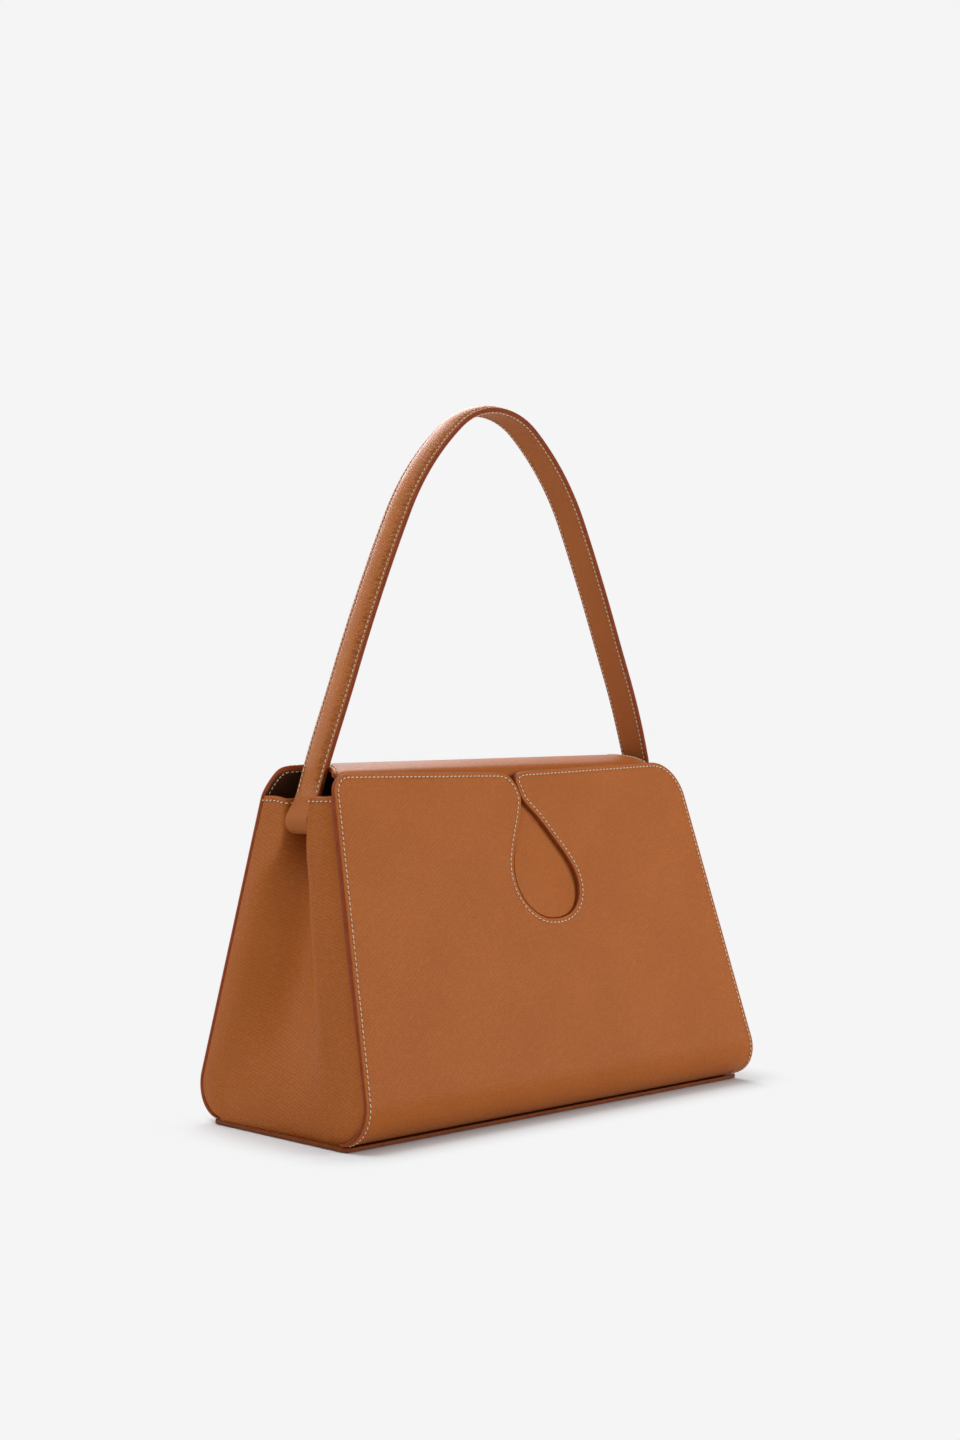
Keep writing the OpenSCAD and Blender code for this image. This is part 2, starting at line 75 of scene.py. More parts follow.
# Studio. The bag stands on a seamless pale floor under large soft boxes. The camera sees
# an even pale grey that keeps only the shadow close round the base. Sizes are in metres.
PALE = 0.913
ROOM_LIGHT = 0.3
PAPER = (0.76, 0.785, 0.80, 1)
SHADOW_HALF = (0.146, 0.055, 0)
SHADOW_REACH = 0.05
FLOOR_HALF = 6
bpy.context.scene.view_settings.view_transform = "Standard"


def feed(tree, made, inputs):
    """Gives each input of a node, by name or place, a constant or the output that it reads."""
    for name, value in inputs.items():
        if isinstance(value, bpy.types.NodeSocket):
            tree.links.new(value, made.inputs[name])
        else:
            made.inputs[name].default_value = value


def node(tree, kind, inputs=None, **settings):
    """Adds a node with its settings and inputs, and returns its outputs."""
    made = tree.nodes.new(kind)
    for name, value in settings.items():
        setattr(made, name, value)
    feed(tree, made, inputs or {})
    return made.outputs


def math_node(tree, operation, *values):
    """The result of one operation on numbers or sockets."""
    return node(tree, "ShaderNodeMath", dict(enumerate(values)), operation=operation)[0]


def vector_node(tree, operation, *values):
    """The outputs of one operation on vectors: the vector, then the number."""
    return node(tree, "ShaderNodeVectorMath", dict(enumerate(values)), operation=operation)


def seen_rays(tree):
    """1 for camera, glossy and transmission rays."""
    path = node(tree, "ShaderNodeLightPath")
    first = math_node(tree, "MAXIMUM", path["Is Camera Ray"], path["Is Glossy Ray"])
    return math_node(tree, "MAXIMUM", first, path["Is Transmission Ray"])


def cleared(owner):
    """The empty node tree of a world or a material."""
    owner.use_nodes = True
    owner.node_tree.nodes.clear()
    return owner.node_tree


world = bpy.data.worlds.new("studio")
bpy.context.scene.world = world
tree = cleared(world)
room_light = node(tree, "ShaderNodeBackground", {"Color": (1, 1, 1, 1), "Strength": ROOM_LIGHT})
backdrop = node(tree, "ShaderNodeBackground", {"Color": (PALE, PALE, PALE, 1), "Strength": 1})
choice = node(tree, "ShaderNodeMixShader", {0: seen_rays(tree), 1: room_light[0], 2: backdrop[0]})
node(tree, "ShaderNodeOutputWorld", {"Surface": choice[0]})

floor_mesh = bpy.data.meshes.new("floor")
floor_mesh.from_pydata([(x * FLOOR_HALF, y * FLOOR_HALF, 0) for x, y in
                        ((-1, -1), (1, -1), (1, 1), (-1, 1))], [], [(0, 1, 2, 3)])
floor = placed("floor", floor_mesh)
floor_paper = bpy.data.materials.new("floor_paper")
tree = cleared(floor_paper)
paper = node(tree, "ShaderNodeBsdfDiffuse", {"Color": PAPER})
even = node(tree, "ShaderNodeEmission", {"Color": (PALE, PALE, PALE, 1)})
# The paper shows within the shadow's reach of the base and gives way to the even grey
unsigned = vector_node(tree, "ABSOLUTE", node(tree, "ShaderNodeTexCoord")["Object"])
beyond = vector_node(tree, "SUBTRACT", unsigned[0], SHADOW_HALF)
apart = vector_node(tree, "MAXIMUM", beyond[0], (0, 0, 0))
length = vector_node(tree, "LENGTH", apart[0])["Value"]
fade = node(tree, "ShaderNodeMapRange", {"Value": length, "From Max": SHADOW_REACH},
            interpolation_type="SMOOTHERSTEP")
seen_fade = math_node(tree, "MULTIPLY", fade[0], seen_rays(tree))
floor_mix = node(tree, "ShaderNodeMixShader", {0: seen_fade, 1: paper[0], 2: even[0]})
node(tree, "ShaderNodeOutputMaterial", {"Surface": floor_mix[0]})
floor.data.materials.append(floor_paper)


def soft_box(name, at, aim, size, watts):
    """A square area lamp that looks from one point towards another."""
    lamp = bpy.data.lights.new(name, "AREA")
    lamp.size = size
    lamp.energy = watts
    box = placed(name, lamp)
    box.location = at
    box.rotation_euler = (Vector(aim) - Vector(at)).to_track_quat("-Z", "Y").to_euler()


soft_box("overhead_box", (0.5, 1.3, 1.35), (0, 0, 0.15), 1.4, 27)
soft_box("front_box", (0.98, -1.42, 0.5), (0, 0, 0.12), 0.95, 18.5)
soft_box("top_box", (-0.7, 0.2, 1.9), (0, 0, 0.2), 0.9, 13)
soft_box("left_box", (-1.6, -1.0, 0.5), (0, 0, 0.12), 1.0, 4)
soft_box("rear_left_box", (-0.95, 1.2, 0.85), (0, 0, 0.12), 0.6, 6)

# Base. A thick leather sole with painted edges, glued under a board that is set back from
# it all round, so that a groove runs above the sole. The board is coloured near black, painted
# shade for that groove. A lined insert lies inside.
# Sizes are in millimetres from here on. Materials and the joints' bends take metres.
MM = 0.001
SOLE_HALF = (150, 59)
SOLE_TOP = 2.2
BOARD_HALF, BOARD_TOP = (140, 46.5), 4.6
INSERT_HALF, INSERT_BOTTOM, INSERT_TOP = (143, 48.5), 4.65, 7.6
RIM_SHARES = (0.12, 0.35, 0.65, 0.88)


def range_node(tree, value, low, high, to_low=0.0, to_high=1.0):
    """A value eased from one range to another."""
    return node(tree, "ShaderNodeMapRange", {
        "Value": value, "From Min": low, "From Max": high, "To Min": to_low, "To Max": to_high},
        interpolation_type="SMOOTHSTEP")[0]


def colour_mix(tree, factor, a, b):
    """Mix of two colours, each a tuple or a socket."""
    a, b = ((*colour, 1) if isinstance(colour, tuple) else colour for colour in (a, b))
    return node(tree, "ShaderNodeMix", {"Factor": factor, 6: a, 7: b}, data_type="RGBA")[2]


def noise(tree, place, scale, detail):
    """A noise texture's outputs."""
    return node(tree, "ShaderNodeTexNoise", {"Vector": place, "Scale": scale, "Detail": detail})


def new_group(name, kind, inputs, outputs):
    """A node group and the sockets that its inputs come in by. inputs are names, kinds of
    socket and values, and outputs names and kinds."""
    tree = bpy.data.node_groups.new(name, kind)
    for label, socket, *value in inputs:
        made = tree.interface.new_socket(
            name=label, in_out="INPUT", socket_type="NodeSocket" + socket)
        if value:
            made.default_value = value[0]
    for label, socket in outputs:
        tree.interface.new_socket(
            name=label, in_out="OUTPUT", socket_type="NodeSocket" + socket)
    return tree, tree.nodes.new("NodeGroupInput").outputs


def pressed_grain():
    """Group: small lozenges between two sets of slanting lines, on a UV map in metres."""
    tree, given = new_group("pressed_grain", "ShaderNodeTree", [
        ("Vector", "Vector"), ("Slant", "Vector", (0, 0, 0)), ("Lines per metre", "Float", 530),
        ("Rising breaks", "Float", 0.5), ("Level breaks", "Float", 0.5)],
        [("Height", "Float"), ("Blotch", "Float")])
    sway = noise(tree, given["Vector"], 110, 2)["Color"]
    shifted = vector_node(tree, "MULTIPLY_ADD", sway, (0.003, 0.003, 0), given["Vector"])
    turned = node(tree, "ShaderNodeMapping", {"Vector": shifted[0], "Rotation": given["Slant"]})
    scaled = node(tree, "ShaderNodeVectorMath", {0: turned[0], "Scale": given["Lines per metre"]},
                  operation="SCALE")[0]
    breaks = noise(tree, scaled, 0.8, 2)
    rows = []
    for angle, level, channel in ((-40, "Rising breaks", "Fac"), (13, "Level breaks", "Color")):
        way = math.radians(angle)
        across = vector_node(tree, "DOT_PRODUCT", scaled, (-math.sin(way), math.cos(way), 0))
        away = math_node(tree, "PINGPONG", across["Value"], 0.5)
        row = range_node(tree, away, 0.0, 0.5)
        over = math_node(tree, "SUBTRACT", breaks[channel], given[level])
        missing = range_node(tree, over, -0.15, 0.2)
        rows.append(math_node(tree, "MAXIMUM", row, missing))
    lozenge = math_node(tree, "MULTIPLY", rows[0], rows[1])
    height = math_node(tree, "MULTIPLY_ADD", breaks["Fac"], 0.3, lozenge)
    blotch = noise(tree, given["Vector"], 22, 2)["Fac"]
    node(tree, "NodeGroupOutput", {"Height": height, "Blotch": blotch})
    return tree


def worn_edge():
    """Group: 1 on a piece's cut edge and 0 a few millimetres in, from its seam attribute."""
    tree, given = new_group("worn_edge", "ShaderNodeTree", [("Reach", "Float", 0.0035)],
                            [("Mask", "Float")])
    seam = node(tree, "ShaderNodeAttribute", attribute_name="seam")["Fac"]
    share = math_node(tree, "DIVIDE", seam, given["Reach"])
    node(tree, "NodeGroupOutput", {"Mask": range_node(tree, share, 0.0, 1.0, 1.0, 0.0)})
    return tree


GRAIN = pressed_grain()
WORN = worn_edge()


def shader(name):
    """A new material with its tree and its Principled shader."""
    material = bpy.data.materials.new(name)
    material.use_nodes = True
    return material, material.node_tree, material.node_tree.nodes["Principled BSDF"]


def leather(name, light, dark, edge, roughness, lines, depth, breaks=(0.5, 0.5), slant=0,
            shine=0.07, creased=None):
    """Leather with embossed grain, soft blotches, painted shade in the grain's valleys and a
    burnished margin. creased may change its height, colour and roughness."""
    material, tree, skin = shader(name)
    grain = node(tree, "ShaderNodeGroup", {
        "Vector": node(tree, "ShaderNodeUVMap", uv_map="hide")[0],
        "Slant": (0, 0, math.radians(slant)), "Lines per metre": lines,
        "Rising breaks": breaks[0], "Level breaks": breaks[1]}, node_tree=GRAIN)
    wear = node(tree, "ShaderNodeGroup", node_tree=WORN)["Mask"]
    body = colour_mix(tree, range_node(tree, grain["Blotch"], 0.35, 0.65), dark, light)
    # Painted shade: the grain's valleys are darkened where shade falls in them
    valley = range_node(tree, grain["Height"], 0.1, 1.0, 0.34, 0.0)
    valley_shaded = colour_mix(tree, valley, body, tuple(0.62 * c for c in dark))
    rubbed = math_node(tree, "MULTIPLY", wear, 0.55)
    colour = colour_mix(tree, rubbed, valley_shaded, edge)
    height = grain["Height"]
    rough = range_node(tree, height, 0.2, 1.2, roughness + 0.06, roughness - 0.04)
    if creased is not None:
        height, colour, rough = creased(tree, height, colour, rough)
    bump = node(tree, "ShaderNodeBump", {"Strength": 0.6, "Distance": depth, "Height": height})
    feed(tree, skin, {
        "Base Color": colour, "Roughness": rough, "Normal": bump[0], "Specular IOR Level": shine})
    return material


def plain(name, low, high, scale, roughness, metallic=0.0, stretch=(1, 1, 1), depth=0.0001,
          detail=4, strength=0.5, shine=0.5):
    """A material of one finish whose shade and bump vary with a noise in Object coordinates.
    roughness is a number, or two between which it varies too."""
    material, tree, skin = shader(name)
    stretched = node(tree, "ShaderNodeMapping", {
        "Vector": node(tree, "ShaderNodeTexCoord")["Object"], "Scale": stretch})
    uneven = noise(tree, stretched[0], scale, detail)["Fac"]
    bump = node(tree, "ShaderNodeBump", {"Strength": strength, "Distance": depth, "Height": uneven})
    if isinstance(roughness, tuple):
        roughness = range_node(tree, uneven, 0.3, 0.7, *roughness)
    feed(tree, skin, {
        "Base Color": colour_mix(tree, range_node(tree, uneven, 0.3, 0.7), low, high),
        "Roughness": roughness, "Metallic": metallic, "Normal": bump[0],
        "Specular IOR Level": shine})
    return material


def edge_paint(name, low, high):
    """Thick acrylic paint on cut edges: slightly uneven, with a soft shine."""
    return plain(name, low, high, 260, (0.34, 0.5), depth=0.0002, detail=3, strength=0.35,
                 shine=0.04)


SMOOTH_TAN = leather("smooth_tan_leather", (0.385, 0.118, 0.030), (0.365, 0.109, 0.027),
                     (0.33, 0.095, 0.024), 0.5, 1300, 0.00005)
LINING = leather("lining_leather", (0.115, 0.040, 0.020), (0.095, 0.031, 0.016),
                 (0.12, 0.040, 0.020), 0.6, 800, 0.0001)
# Painted shade: the sole's edge paint is darker than the panels', for the shadow it sits in under
# the rolled walls
SHADE_DARK_SOLE_PAINT = edge_paint("sole_paint_darkened_as_shade", (0.165, 0.042, 0.014), (0.21, 0.055, 0.018))
# The base board is real, and its near-black colour is painted shade for the groove above the sole
GROOVE_SHADE_BOARD = plain("base_board_groove_shade", (0.035, 0.014, 0.010), (0.06, 0.022, 0.015), 700, 0.8)


def smoothstep(value, low, high):
    """0 below low, 1 above high, and an eased share between."""
    t = np.clip((value - low) / (high - low), 0, 1)
    return t * t * (3 - 2 * t)


def running(line):
    """Distance along a line at each of its points."""
    return np.r_[0, np.cumsum(np.linalg.norm(np.diff(line, axis=0), axis=1))]


def even_line(line, step):
    """A line cut into even steps."""
    line = np.array(line, float)
    run = running(line)
    at = np.linspace(0, run[-1], max(2, int(round(run[-1] / step)) + 1))
    return np.stack([np.interp(at, run, line[:, i]) for i in range(line.shape[1])], 1)


def gap_to(points, line):
    """Distance from each point to a closed line."""
    along = np.roll(line, -1, axis=0) - line
    square = np.maximum((along ** 2).sum(1), 1e-12)
    out = np.empty(len(points))
    for i in range(0, len(points), 500):
        p = points[i:i + 500, None, :] - line
        t = np.clip((p * along).sum(2) / square, 0, 1)
        out[i:i + 500] = np.sqrt(((p - t[..., None] * along) ** 2).sum(2)).min(1)
    return out


def within(points, line):
    """True for each point inside a closed line."""
    a, b = line, np.roll(line, -1, axis=0)
    x, y = points[:, 0, None], points[:, 1, None]
    crosses = (a[:, 1] > y) != (b[:, 1] > y)
    rise = np.where(a[:, 1] == b[:, 1], 1, b[:, 1] - a[:, 1])
    at = a[:, 0] + (y - a[:, 1]) * (b[:, 0] - a[:, 0]) / rise
    return (crosses & (x < at)).sum(1) % 2 == 1


def unit(ways):
    """Directions, each made 1 long."""
    return ways / np.maximum(np.linalg.norm(ways, axis=-1, keepdims=True), 1e-9)


def inward(line):
    """The direction into a closed anticlockwise line at each of its points."""
    along = unit(np.roll(line, -1, axis=0) - np.roll(line, 1, axis=0))
    return np.stack([-along[:, 1], along[:, 0]], 1)


def anticlockwise(line):
    """A closed line, turned round if it runs clockwise."""
    x, y = line.T
    return line if (x * np.roll(y, -1) - y * np.roll(x, -1)).sum() > 0 else line[::-1]


def turned_over(faces, uv):
    """Faces that look the other way, and their corners' places on the hide."""
    starts = np.cumsum([0] + [len(face) for face in faces])
    uv = [corner for first, last in zip(starts, starts[1:]) for corner in uv[first:last][::-1]]
    return [face[::-1] for face in faces], uv


def mesh_piece(name, points, faces, finish, skins, uv, seam):
    """An object from points in millimetres. finish gives each face's material, uv each
    corner's place on the hide, and seam each point's distance from a sewn edge."""
    mesh = bpy.data.meshes.new(name)
    mesh.from_pydata((np.asarray(points) * MM).tolist(), [], faces)
    for skin in skins:
        mesh.materials.append(skin)
    mesh.polygons.foreach_set("material_index", np.asarray(finish, np.int32))
    layer = mesh.uv_layers.new(name="hide")
    layer.data.foreach_set("uv", (np.asarray(uv, np.float32) * MM).ravel())
    store = mesh.attributes.new("seam", "FLOAT", "POINT")
    store.data.foreach_set("value", np.asarray(seam, np.float32) * MM)
    mesh.shade_smooth()
    mesh.set_sharp_from_angle(angle=math.radians(50))
    mesh.validate()
    return placed(name, mesh)


def depth_at(depth, flat):
    """A depth at each place: one number, or a function of the place."""
    return depth(*flat.T) if callable(depth) else np.full(len(flat), float(depth))


def cut_piece(name, line, place, top, bottom, skins, ease=0.4, stitch_in=2.2, sink=0.22,
              spacing=4.0, swell=0.1, relief=None, extra=(), lip=None):
    """A piece cut from sheet along a closed line and laid on a wall. place turns (across,
    along, depth into the wall) into a point, and top and bottom are its two faces' depths.
    The top's edge is eased, its seam is sunk, and relief and extra add shape and points.
    The rim swells a little, and lip is how deep it goes where it covers other layers too."""
    line = anticlockwise(np.array(line, float))
    flat = [line]
    for inset in (0.12, ease * 0.45, ease, 1.1, stitch_in - 0.45, stitch_in, stitch_in + 0.45,
                  stitch_in + 1.1, stitch_in + 2.2, stitch_in + 3.8):
        row = line + inward(line) * inset
        row = row[gap_to(row, line) > inset * 0.97 - 0.005]
        flat.append(row[within(row, line)])
    low, high = line.min(0) + spacing / 2, line.max(0)
    grid = np.meshgrid(np.arange(low[0], high[0], spacing), np.arange(low[1], high[1], spacing))
    grid = np.stack(grid, -1).reshape(-1, 2)
    grid = grid[within(grid, line)]
    grid = grid[gap_to(grid, line) > stitch_in + 3.8 + spacing * 0.45]
    for row in extra:
        grid = grid[gap_to(grid, row) > spacing * 0.3]
    rim_count = len(line)
    found = delaunay_2d_cdt(
        [Vector(p) for p in np.concatenate([*flat, grid, *extra]).tolist()], [],
        [list(range(rim_count))], 1, 1e-4, True)
    flat = np.array([tuple(p) for p in found[0]])
    origin = {source: i for i, sources in enumerate(found[3]) for source in sources}
    ring = np.array([origin[i] for i in range(rim_count)])
    triangles = np.array([tuple(f) for f in found[2]])
    triangles = triangles[within(flat[triangles].mean(1), line)]
    inset = gap_to(flat, line)
    inset[ring] = 0

    round_off = ease - np.sqrt(np.maximum(ease ** 2 - np.maximum(ease - inset, 0) ** 2, 0))
    groove = sink * np.exp(-((inset - stitch_in) / 0.5) ** 2)
    outer = depth_at(top, flat) + round_off + groove
    if relief is not None:
        outer = outer + relief(*flat.T)
    inner = depth_at(bottom, flat)
    if lip is not None:
        inner = np.where(inset < 0.3, lip(*flat.T), inner)
    inner = inner - 0.2 * np.clip(1 - inset / 0.3, 0, 1)
    points = [place(*flat.T, outer), place(*flat.T, inner)]
    edge = flat[ring]
    for share in RIM_SHARES:
        moved = edge - inward(edge) * swell * math.sin(math.pi * share)
        points.append(place(*moved.T, outer[ring] * (1 - share) + inner[ring] * share))
    points = np.concatenate(points)

    count = len(flat)
    faces = triangles.tolist() + (count + triangles[:, [0, 2, 1]]).tolist()
    uv = [flat[v % count] for face in faces for v in face]
    painted = (inset[triangles].max(1) < 0.5) & (lip is not None)
    finish = [0] * len(triangles) + np.where(painted, 1, 2).tolist()
    run = running(edge)
    between = 2 * count + np.arange(len(RIM_SHARES) * rim_count).reshape(-1, rim_count)
    rim = np.concatenate([[ring], between, [count + ring]]).tolist()
    for row, (upper, lower) in enumerate(zip(rim, rim[1:])):
        for i in range(rim_count):
            j = (i + 1) % rim_count
            faces.append([upper[i], lower[i], lower[j], upper[j]])
            finish.append(1)
            last = run[i] + 1 if j == 0 else run[j]
            uv += [(run[i], row), (run[i], row + 1), (last, row + 1), (last, row)]
    # A wall that runs the other way round would turn the piece inside out
    a, b, c = triangles[len(triangles) // 2]
    away = place(*flat[[a]].T, outer[[a]] - 1)[0] - points[a]
    if np.cross(points[b] - points[a], points[c] - points[a]) @ away < 0:
        faces, uv = turned_over(faces, uv)
    seam = np.r_[inset, inset, np.zeros(len(RIM_SHARES) * rim_count)]
    return mesh_piece(name, points, faces, finish, skins, uv, seam)


def fixed(piece, slot, *nodes):
    """Fixes a piece to the bag's body in place of CAD nodes. slot is not used."""
    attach(piece, "root")
    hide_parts(*nodes)


def on_floor(x, y, depth):
    """Lays a piece flat: depth runs up from the floor."""
    return np.stack([x, y, depth], 1)


def round_box(half, radius):
    """A rectangle with round corners, as a closed line."""
    line = []
    for sx, sy, start in ((1, -1, -90), (1, 1, 0), (-1, 1, 90), (-1, -1, 180)):
        for angle in np.radians(np.linspace(start, start + 90, 7)):
            line.append((sx * (half[0] - radius) + radius * math.cos(angle),
                         sy * (half[1] - radius) + radius * math.sin(angle)))
    return even_line(line + line[:1], 1.5)[:-1]


def undercut(x, y):
    """The sole's underside is bevelled, so that its edge stands a little off the floor."""
    inset = np.minimum(SOLE_HALF[0] - np.abs(x), SOLE_HALF[1] - np.abs(y))
    return 0.8 * (1 - smoothstep(inset, 0.6, 2.4))


sole = cut_piece("base_sole", round_box(SOLE_HALF, 4.5), on_floor, SOLE_TOP, undercut,
                 (SHADE_DARK_SOLE_PAINT, SHADE_DARK_SOLE_PAINT, SMOOTH_TAN), ease=0.3, stitch_in=5, sink=0, spacing=8)
fixed(sole, "painted_edge", "base_panel")
insert = cut_piece("base_floor_lining", round_box(INSERT_HALF, 3), on_floor, INSERT_TOP,
                   INSERT_BOTTOM, [LINING] * 3, ease=0.8, stitch_in=4, sink=0.1, spacing=8)
fixed(insert, "lining", "base_insert")
base_board = cut_piece("base_stiff_board", round_box(BOARD_HALF, 3), on_floor, BOARD_TOP,
                       SOLE_TOP, [GROOVE_SHADE_BOARD] * 3, ease=0.2, stitch_in=4, sink=0, spacing=9)
fixed(base_board, "leatherboard", "base_board")

# Stitches. Waxed cream thread is sewn by machine just inside the edges of the panels, the
# gussets' hems and the strap: a short arched stitch, a needle hole, and so on. A hole is a
# flat dark disc of painted shade, a little wider than the thread.
PITCH = 2.85
THREAD = plain("cream_thread", (0.60, 0.42, 0.27), (0.76, 0.57, 0.40), 2600, 0.75, depth=0.00012)
# Painted shade: the needle holes' near-black colour stands for the shade inside them
NEEDLE_HOLE_SHADE = plain("needle_hole_shade", (0.05, 0.016, 0.007), (0.08, 0.026, 0.011), 900, 0.9)


def stitch_tree():
    """Geometry Nodes: a stitch and a hole, a dark disc of painted shade, at every pitch along the
    rows of a mesh of edges.
    """
    tree, given = new_group("stitch_row", "GeometryNodeTree", [
        ("Rows", "Geometry"), ("Pitch", "Float", PITCH * MM), ("Stitch", "Float", 1.66 * MM),
        ("Thickness", "Float", 0.62 * MM), ("Arch", "Float", 0.3 * MM),
        ("Hole", "Float", 0.8 * MM), ("Slant", "Float", math.radians(7)),
        ("Thread", "Material"), ("Dark", "Material")], [("Stitches", "Geometry")])

    def times(name, share):
        return math_node(tree, "MULTIPLY", given[name], share)

    def vector(**parts):
        return node(tree, "ShaderNodeCombineXYZ", parts)[0]

    curve = node(tree, "GeometryNodeMeshToCurve", {"Mesh": given["Rows"]})[0]
    points = node(tree, "GeometryNodeCurveToPoints", {"Curve": curve, "Length": given["Pitch"]},
                  mode="LENGTH")
    out_way = node(tree, "GeometryNodeInputNamedAttribute", {"Name": "out"},
                   data_type="FLOAT_VECTOR")["Attribute"]
    stand = node(tree, "FunctionNodeAxesToRotation", {
        "Primary Axis": points["Tangent"], "Secondary Axis": out_way},
        primary_axis="X", secondary_axis="Z")[0]
    bow = node(tree, "GeometryNodeCurveQuadraticBezier", {
        "Resolution": 6, "Start": vector(X=times("Stitch", -0.5)),
        "Middle": vector(Z=times("Arch", 2.0)), "End": vector(X=times("Stitch", 0.5))})[0]
    ring = node(tree, "GeometryNodeCurvePrimitiveCircle", {
        "Resolution": 6, "Radius": times("Thickness", 0.5)})["Curve"]
    stitch = node(tree, "GeometryNodeCurveToMesh", {
        "Curve": bow, "Profile Curve": ring, "Fill Caps": True})[0]
    stitch = node(tree, "GeometryNodeSetShadeSmooth", {"Geometry": stitch})[0]
    stitch = node(tree, "GeometryNodeSetMaterial", {
        "Geometry": stitch, "Material": given["Thread"]})[0]
    slanted = node(tree, "FunctionNodeRotateRotation", {
        "Rotation": stand, "Rotate By": vector(Z=given["Slant"])}, rotation_space="LOCAL")[0]
    stitches = node(tree, "GeometryNodeInstanceOnPoints", {
        "Points": points["Points"], "Instance": stitch, "Rotation": slanted})[0]
    # Each hole is a flat dark disc on the surface: painted shade
    hole_shade_disc = node(tree, "GeometryNodeMeshCircle", {"Vertices": 8, "Radius": times("Hole", 0.5)},
                fill_type="NGON")["Mesh"]
    hole_shade_disc = node(tree, "GeometryNodeSetMaterial", {"Geometry": hole_shade_disc, "Material": given["Dark"]})[0]
    holes = node(tree, "GeometryNodeInstanceOnPoints", {
        "Points": points["Points"], "Instance": hole_shade_disc, "Rotation": stand,
        "Scale": vector(X=1.35, Y=0.9, Z=1)})[0]
    holes = node(tree, "GeometryNodeTranslateInstances", {
        "Instances": holes,
        "Translation": vector(X=times("Pitch", 0.5), Z=times("Thickness", 0.16))})[0]
    both = tree.nodes.new("GeometryNodeJoinGeometry")
    feed(tree, both, {0: stitches})
    feed(tree, both, {0: holes})
    real = node(tree, "GeometryNodeRealizeInstances", {"Geometry": both.outputs[0]})[0]
    node(tree, "NodeGroupOutput", {"Stitches": real})
    return tree


STITCHES = stitch_tree()


def sew(name, rows, **sizes):
    """Sews rows of stitches. A row is its points and the way out of the leather at each."""
    points = np.concatenate([row[0] for row in rows]) * MM
    out_way = np.concatenate([row[1] for row in rows])
    edges, first = [], 0
    for row in rows:
        edges += [(first + i, first + i + 1) for i in range(len(row[0]) - 1)]
        first += len(row[0])
    path = bpy.data.meshes.new(name + "_rows")
    path.from_pydata(points.tolist(), edges, [])
    store = path.attributes.new("out", "FLOAT_VECTOR", "POINT")
    store.data.foreach_set("vector", out_way.astype(np.float32).ravel())
    guide = placed(name + "_rows", path)
    modifier = guide.modifiers.new("stitches", "NODES")
    modifier.node_group = STITCHES
    given = {"Thread": THREAD, "Dark": NEEDLE_HOLE_SHADE, **sizes}
    for socket in STITCHES.interface.items_tree:
        if socket.name in given:
            modifier[socket.identifier] = given[socket.name]
    ready = guide.evaluated_get(bpy.context.evaluated_depsgraph_get())
    mesh = bpy.data.meshes.new_from_object(ready)
    bpy.data.objects.remove(guide)
    piece = placed(name, mesh)
    return piece


def row_on(line, place, depth):
    """Points and outward directions of a stitch row along a line laid on a wall."""
    line = even_line(line, 0.8)
    depth = np.full(len(line), depth)
    points = place(*line.T, depth)
    return points, unit(place(*line.T, depth - 1) - points)


def sewn_rows(line, part, inset):
    """Rows just inside a closed line, one along each unbroken stretch of the part sewn."""
    row = line + inward(line) * inset
    clear = gap_to(row, line) > inset * 0.985
    wanted = part(line)
    # Start at the end of a stretch that isn't sewn
    first = 0
    if not wanted.all():
        first = int(np.flatnonzero(~wanted & np.roll(wanted, -1))[0]) + 1
    rows = [[]]
    for i in np.roll(np.arange(len(line)), -first):
        if not wanted[i]:
            rows.append([])
        elif clear[i]:
            rows[-1].append(row[i])
    return [np.array(points) for points in rows if len(points) > 2]


# Back and flap. One hide runs from the base up the back, bends forward over the mouth
# and ends in a tongue that tucks behind the front. Board stiffens it and a lining faces it.
TAN_SHADES = (0.385, 0.109, 0.021), (0.365, 0.101, 0.019), (0.37, 0.100, 0.020)
TAN = leather("tan_leather", *TAN_SHADES, 0.40, 540, 0.00018, breaks=(0.56, 0.46))
PAINT = edge_paint("edge_paint", (0.205, 0.041, 0.0135), (0.25, 0.052, 0.018))
BOARD = plain("leatherboard", (0.16, 0.10, 0.07), (0.24, 0.16, 0.11), 900, 0.85)
# Half the panels' width at the top, and how much more it is at the base
TOP_HALF, FLARE = 131.5, 18.5
TOP_Z = 191.0
LEAN = math.radians(14.68)
# The walls roll under in two arcs: the upper one ends the slope, the lower one turns to the base
ROLL_R, UNDER_R = 17.7, 19.2
ROLL_UNDER = (LEAN * ROLL_R, -math.degrees(LEAN)), (math.pi / 2 * UNDER_R, -90), (1.5, 0)
FLAP_END = (-26.0, 178.6)
WAIST_S = 50.5
STRAIGHT_S, STRAIGHT_Z = 79.42, 176.66
ROLL_S = 234.35
# The walls' linings stop this far in from the panels' edges
LINING_IN = 7.5


def trace(start, heading, runs):
    """A wall's outer line: its depth, height and the angle of its outward normal, by distance.
    Each run is a length and the degrees that the wall turns over it."""
    distance, turn = [0.0], [math.radians(heading)]
    for run, degrees in runs:
        steps = max(1, int(math.ceil(run / 0.25)))
        for i in range(steps):
            distance.append(distance[-1] + run / steps)
            turn.append(turn[-1] + math.radians(degrees) / steps)
    distance, turn = np.array(distance), np.array(turn)
    middle, gap = (turn[1:] + turn[:-1]) / 2, np.diff(distance)
    depth = start[0] + np.r_[0, np.cumsum(gap * np.sin(middle))]
    height = start[1] + np.r_[0, np.cumsum(-gap * np.cos(middle))]

    def at(s):
        return [np.interp(s, distance, values) for values in (depth, height, turn)]
    at.length = distance[-1]
    return at


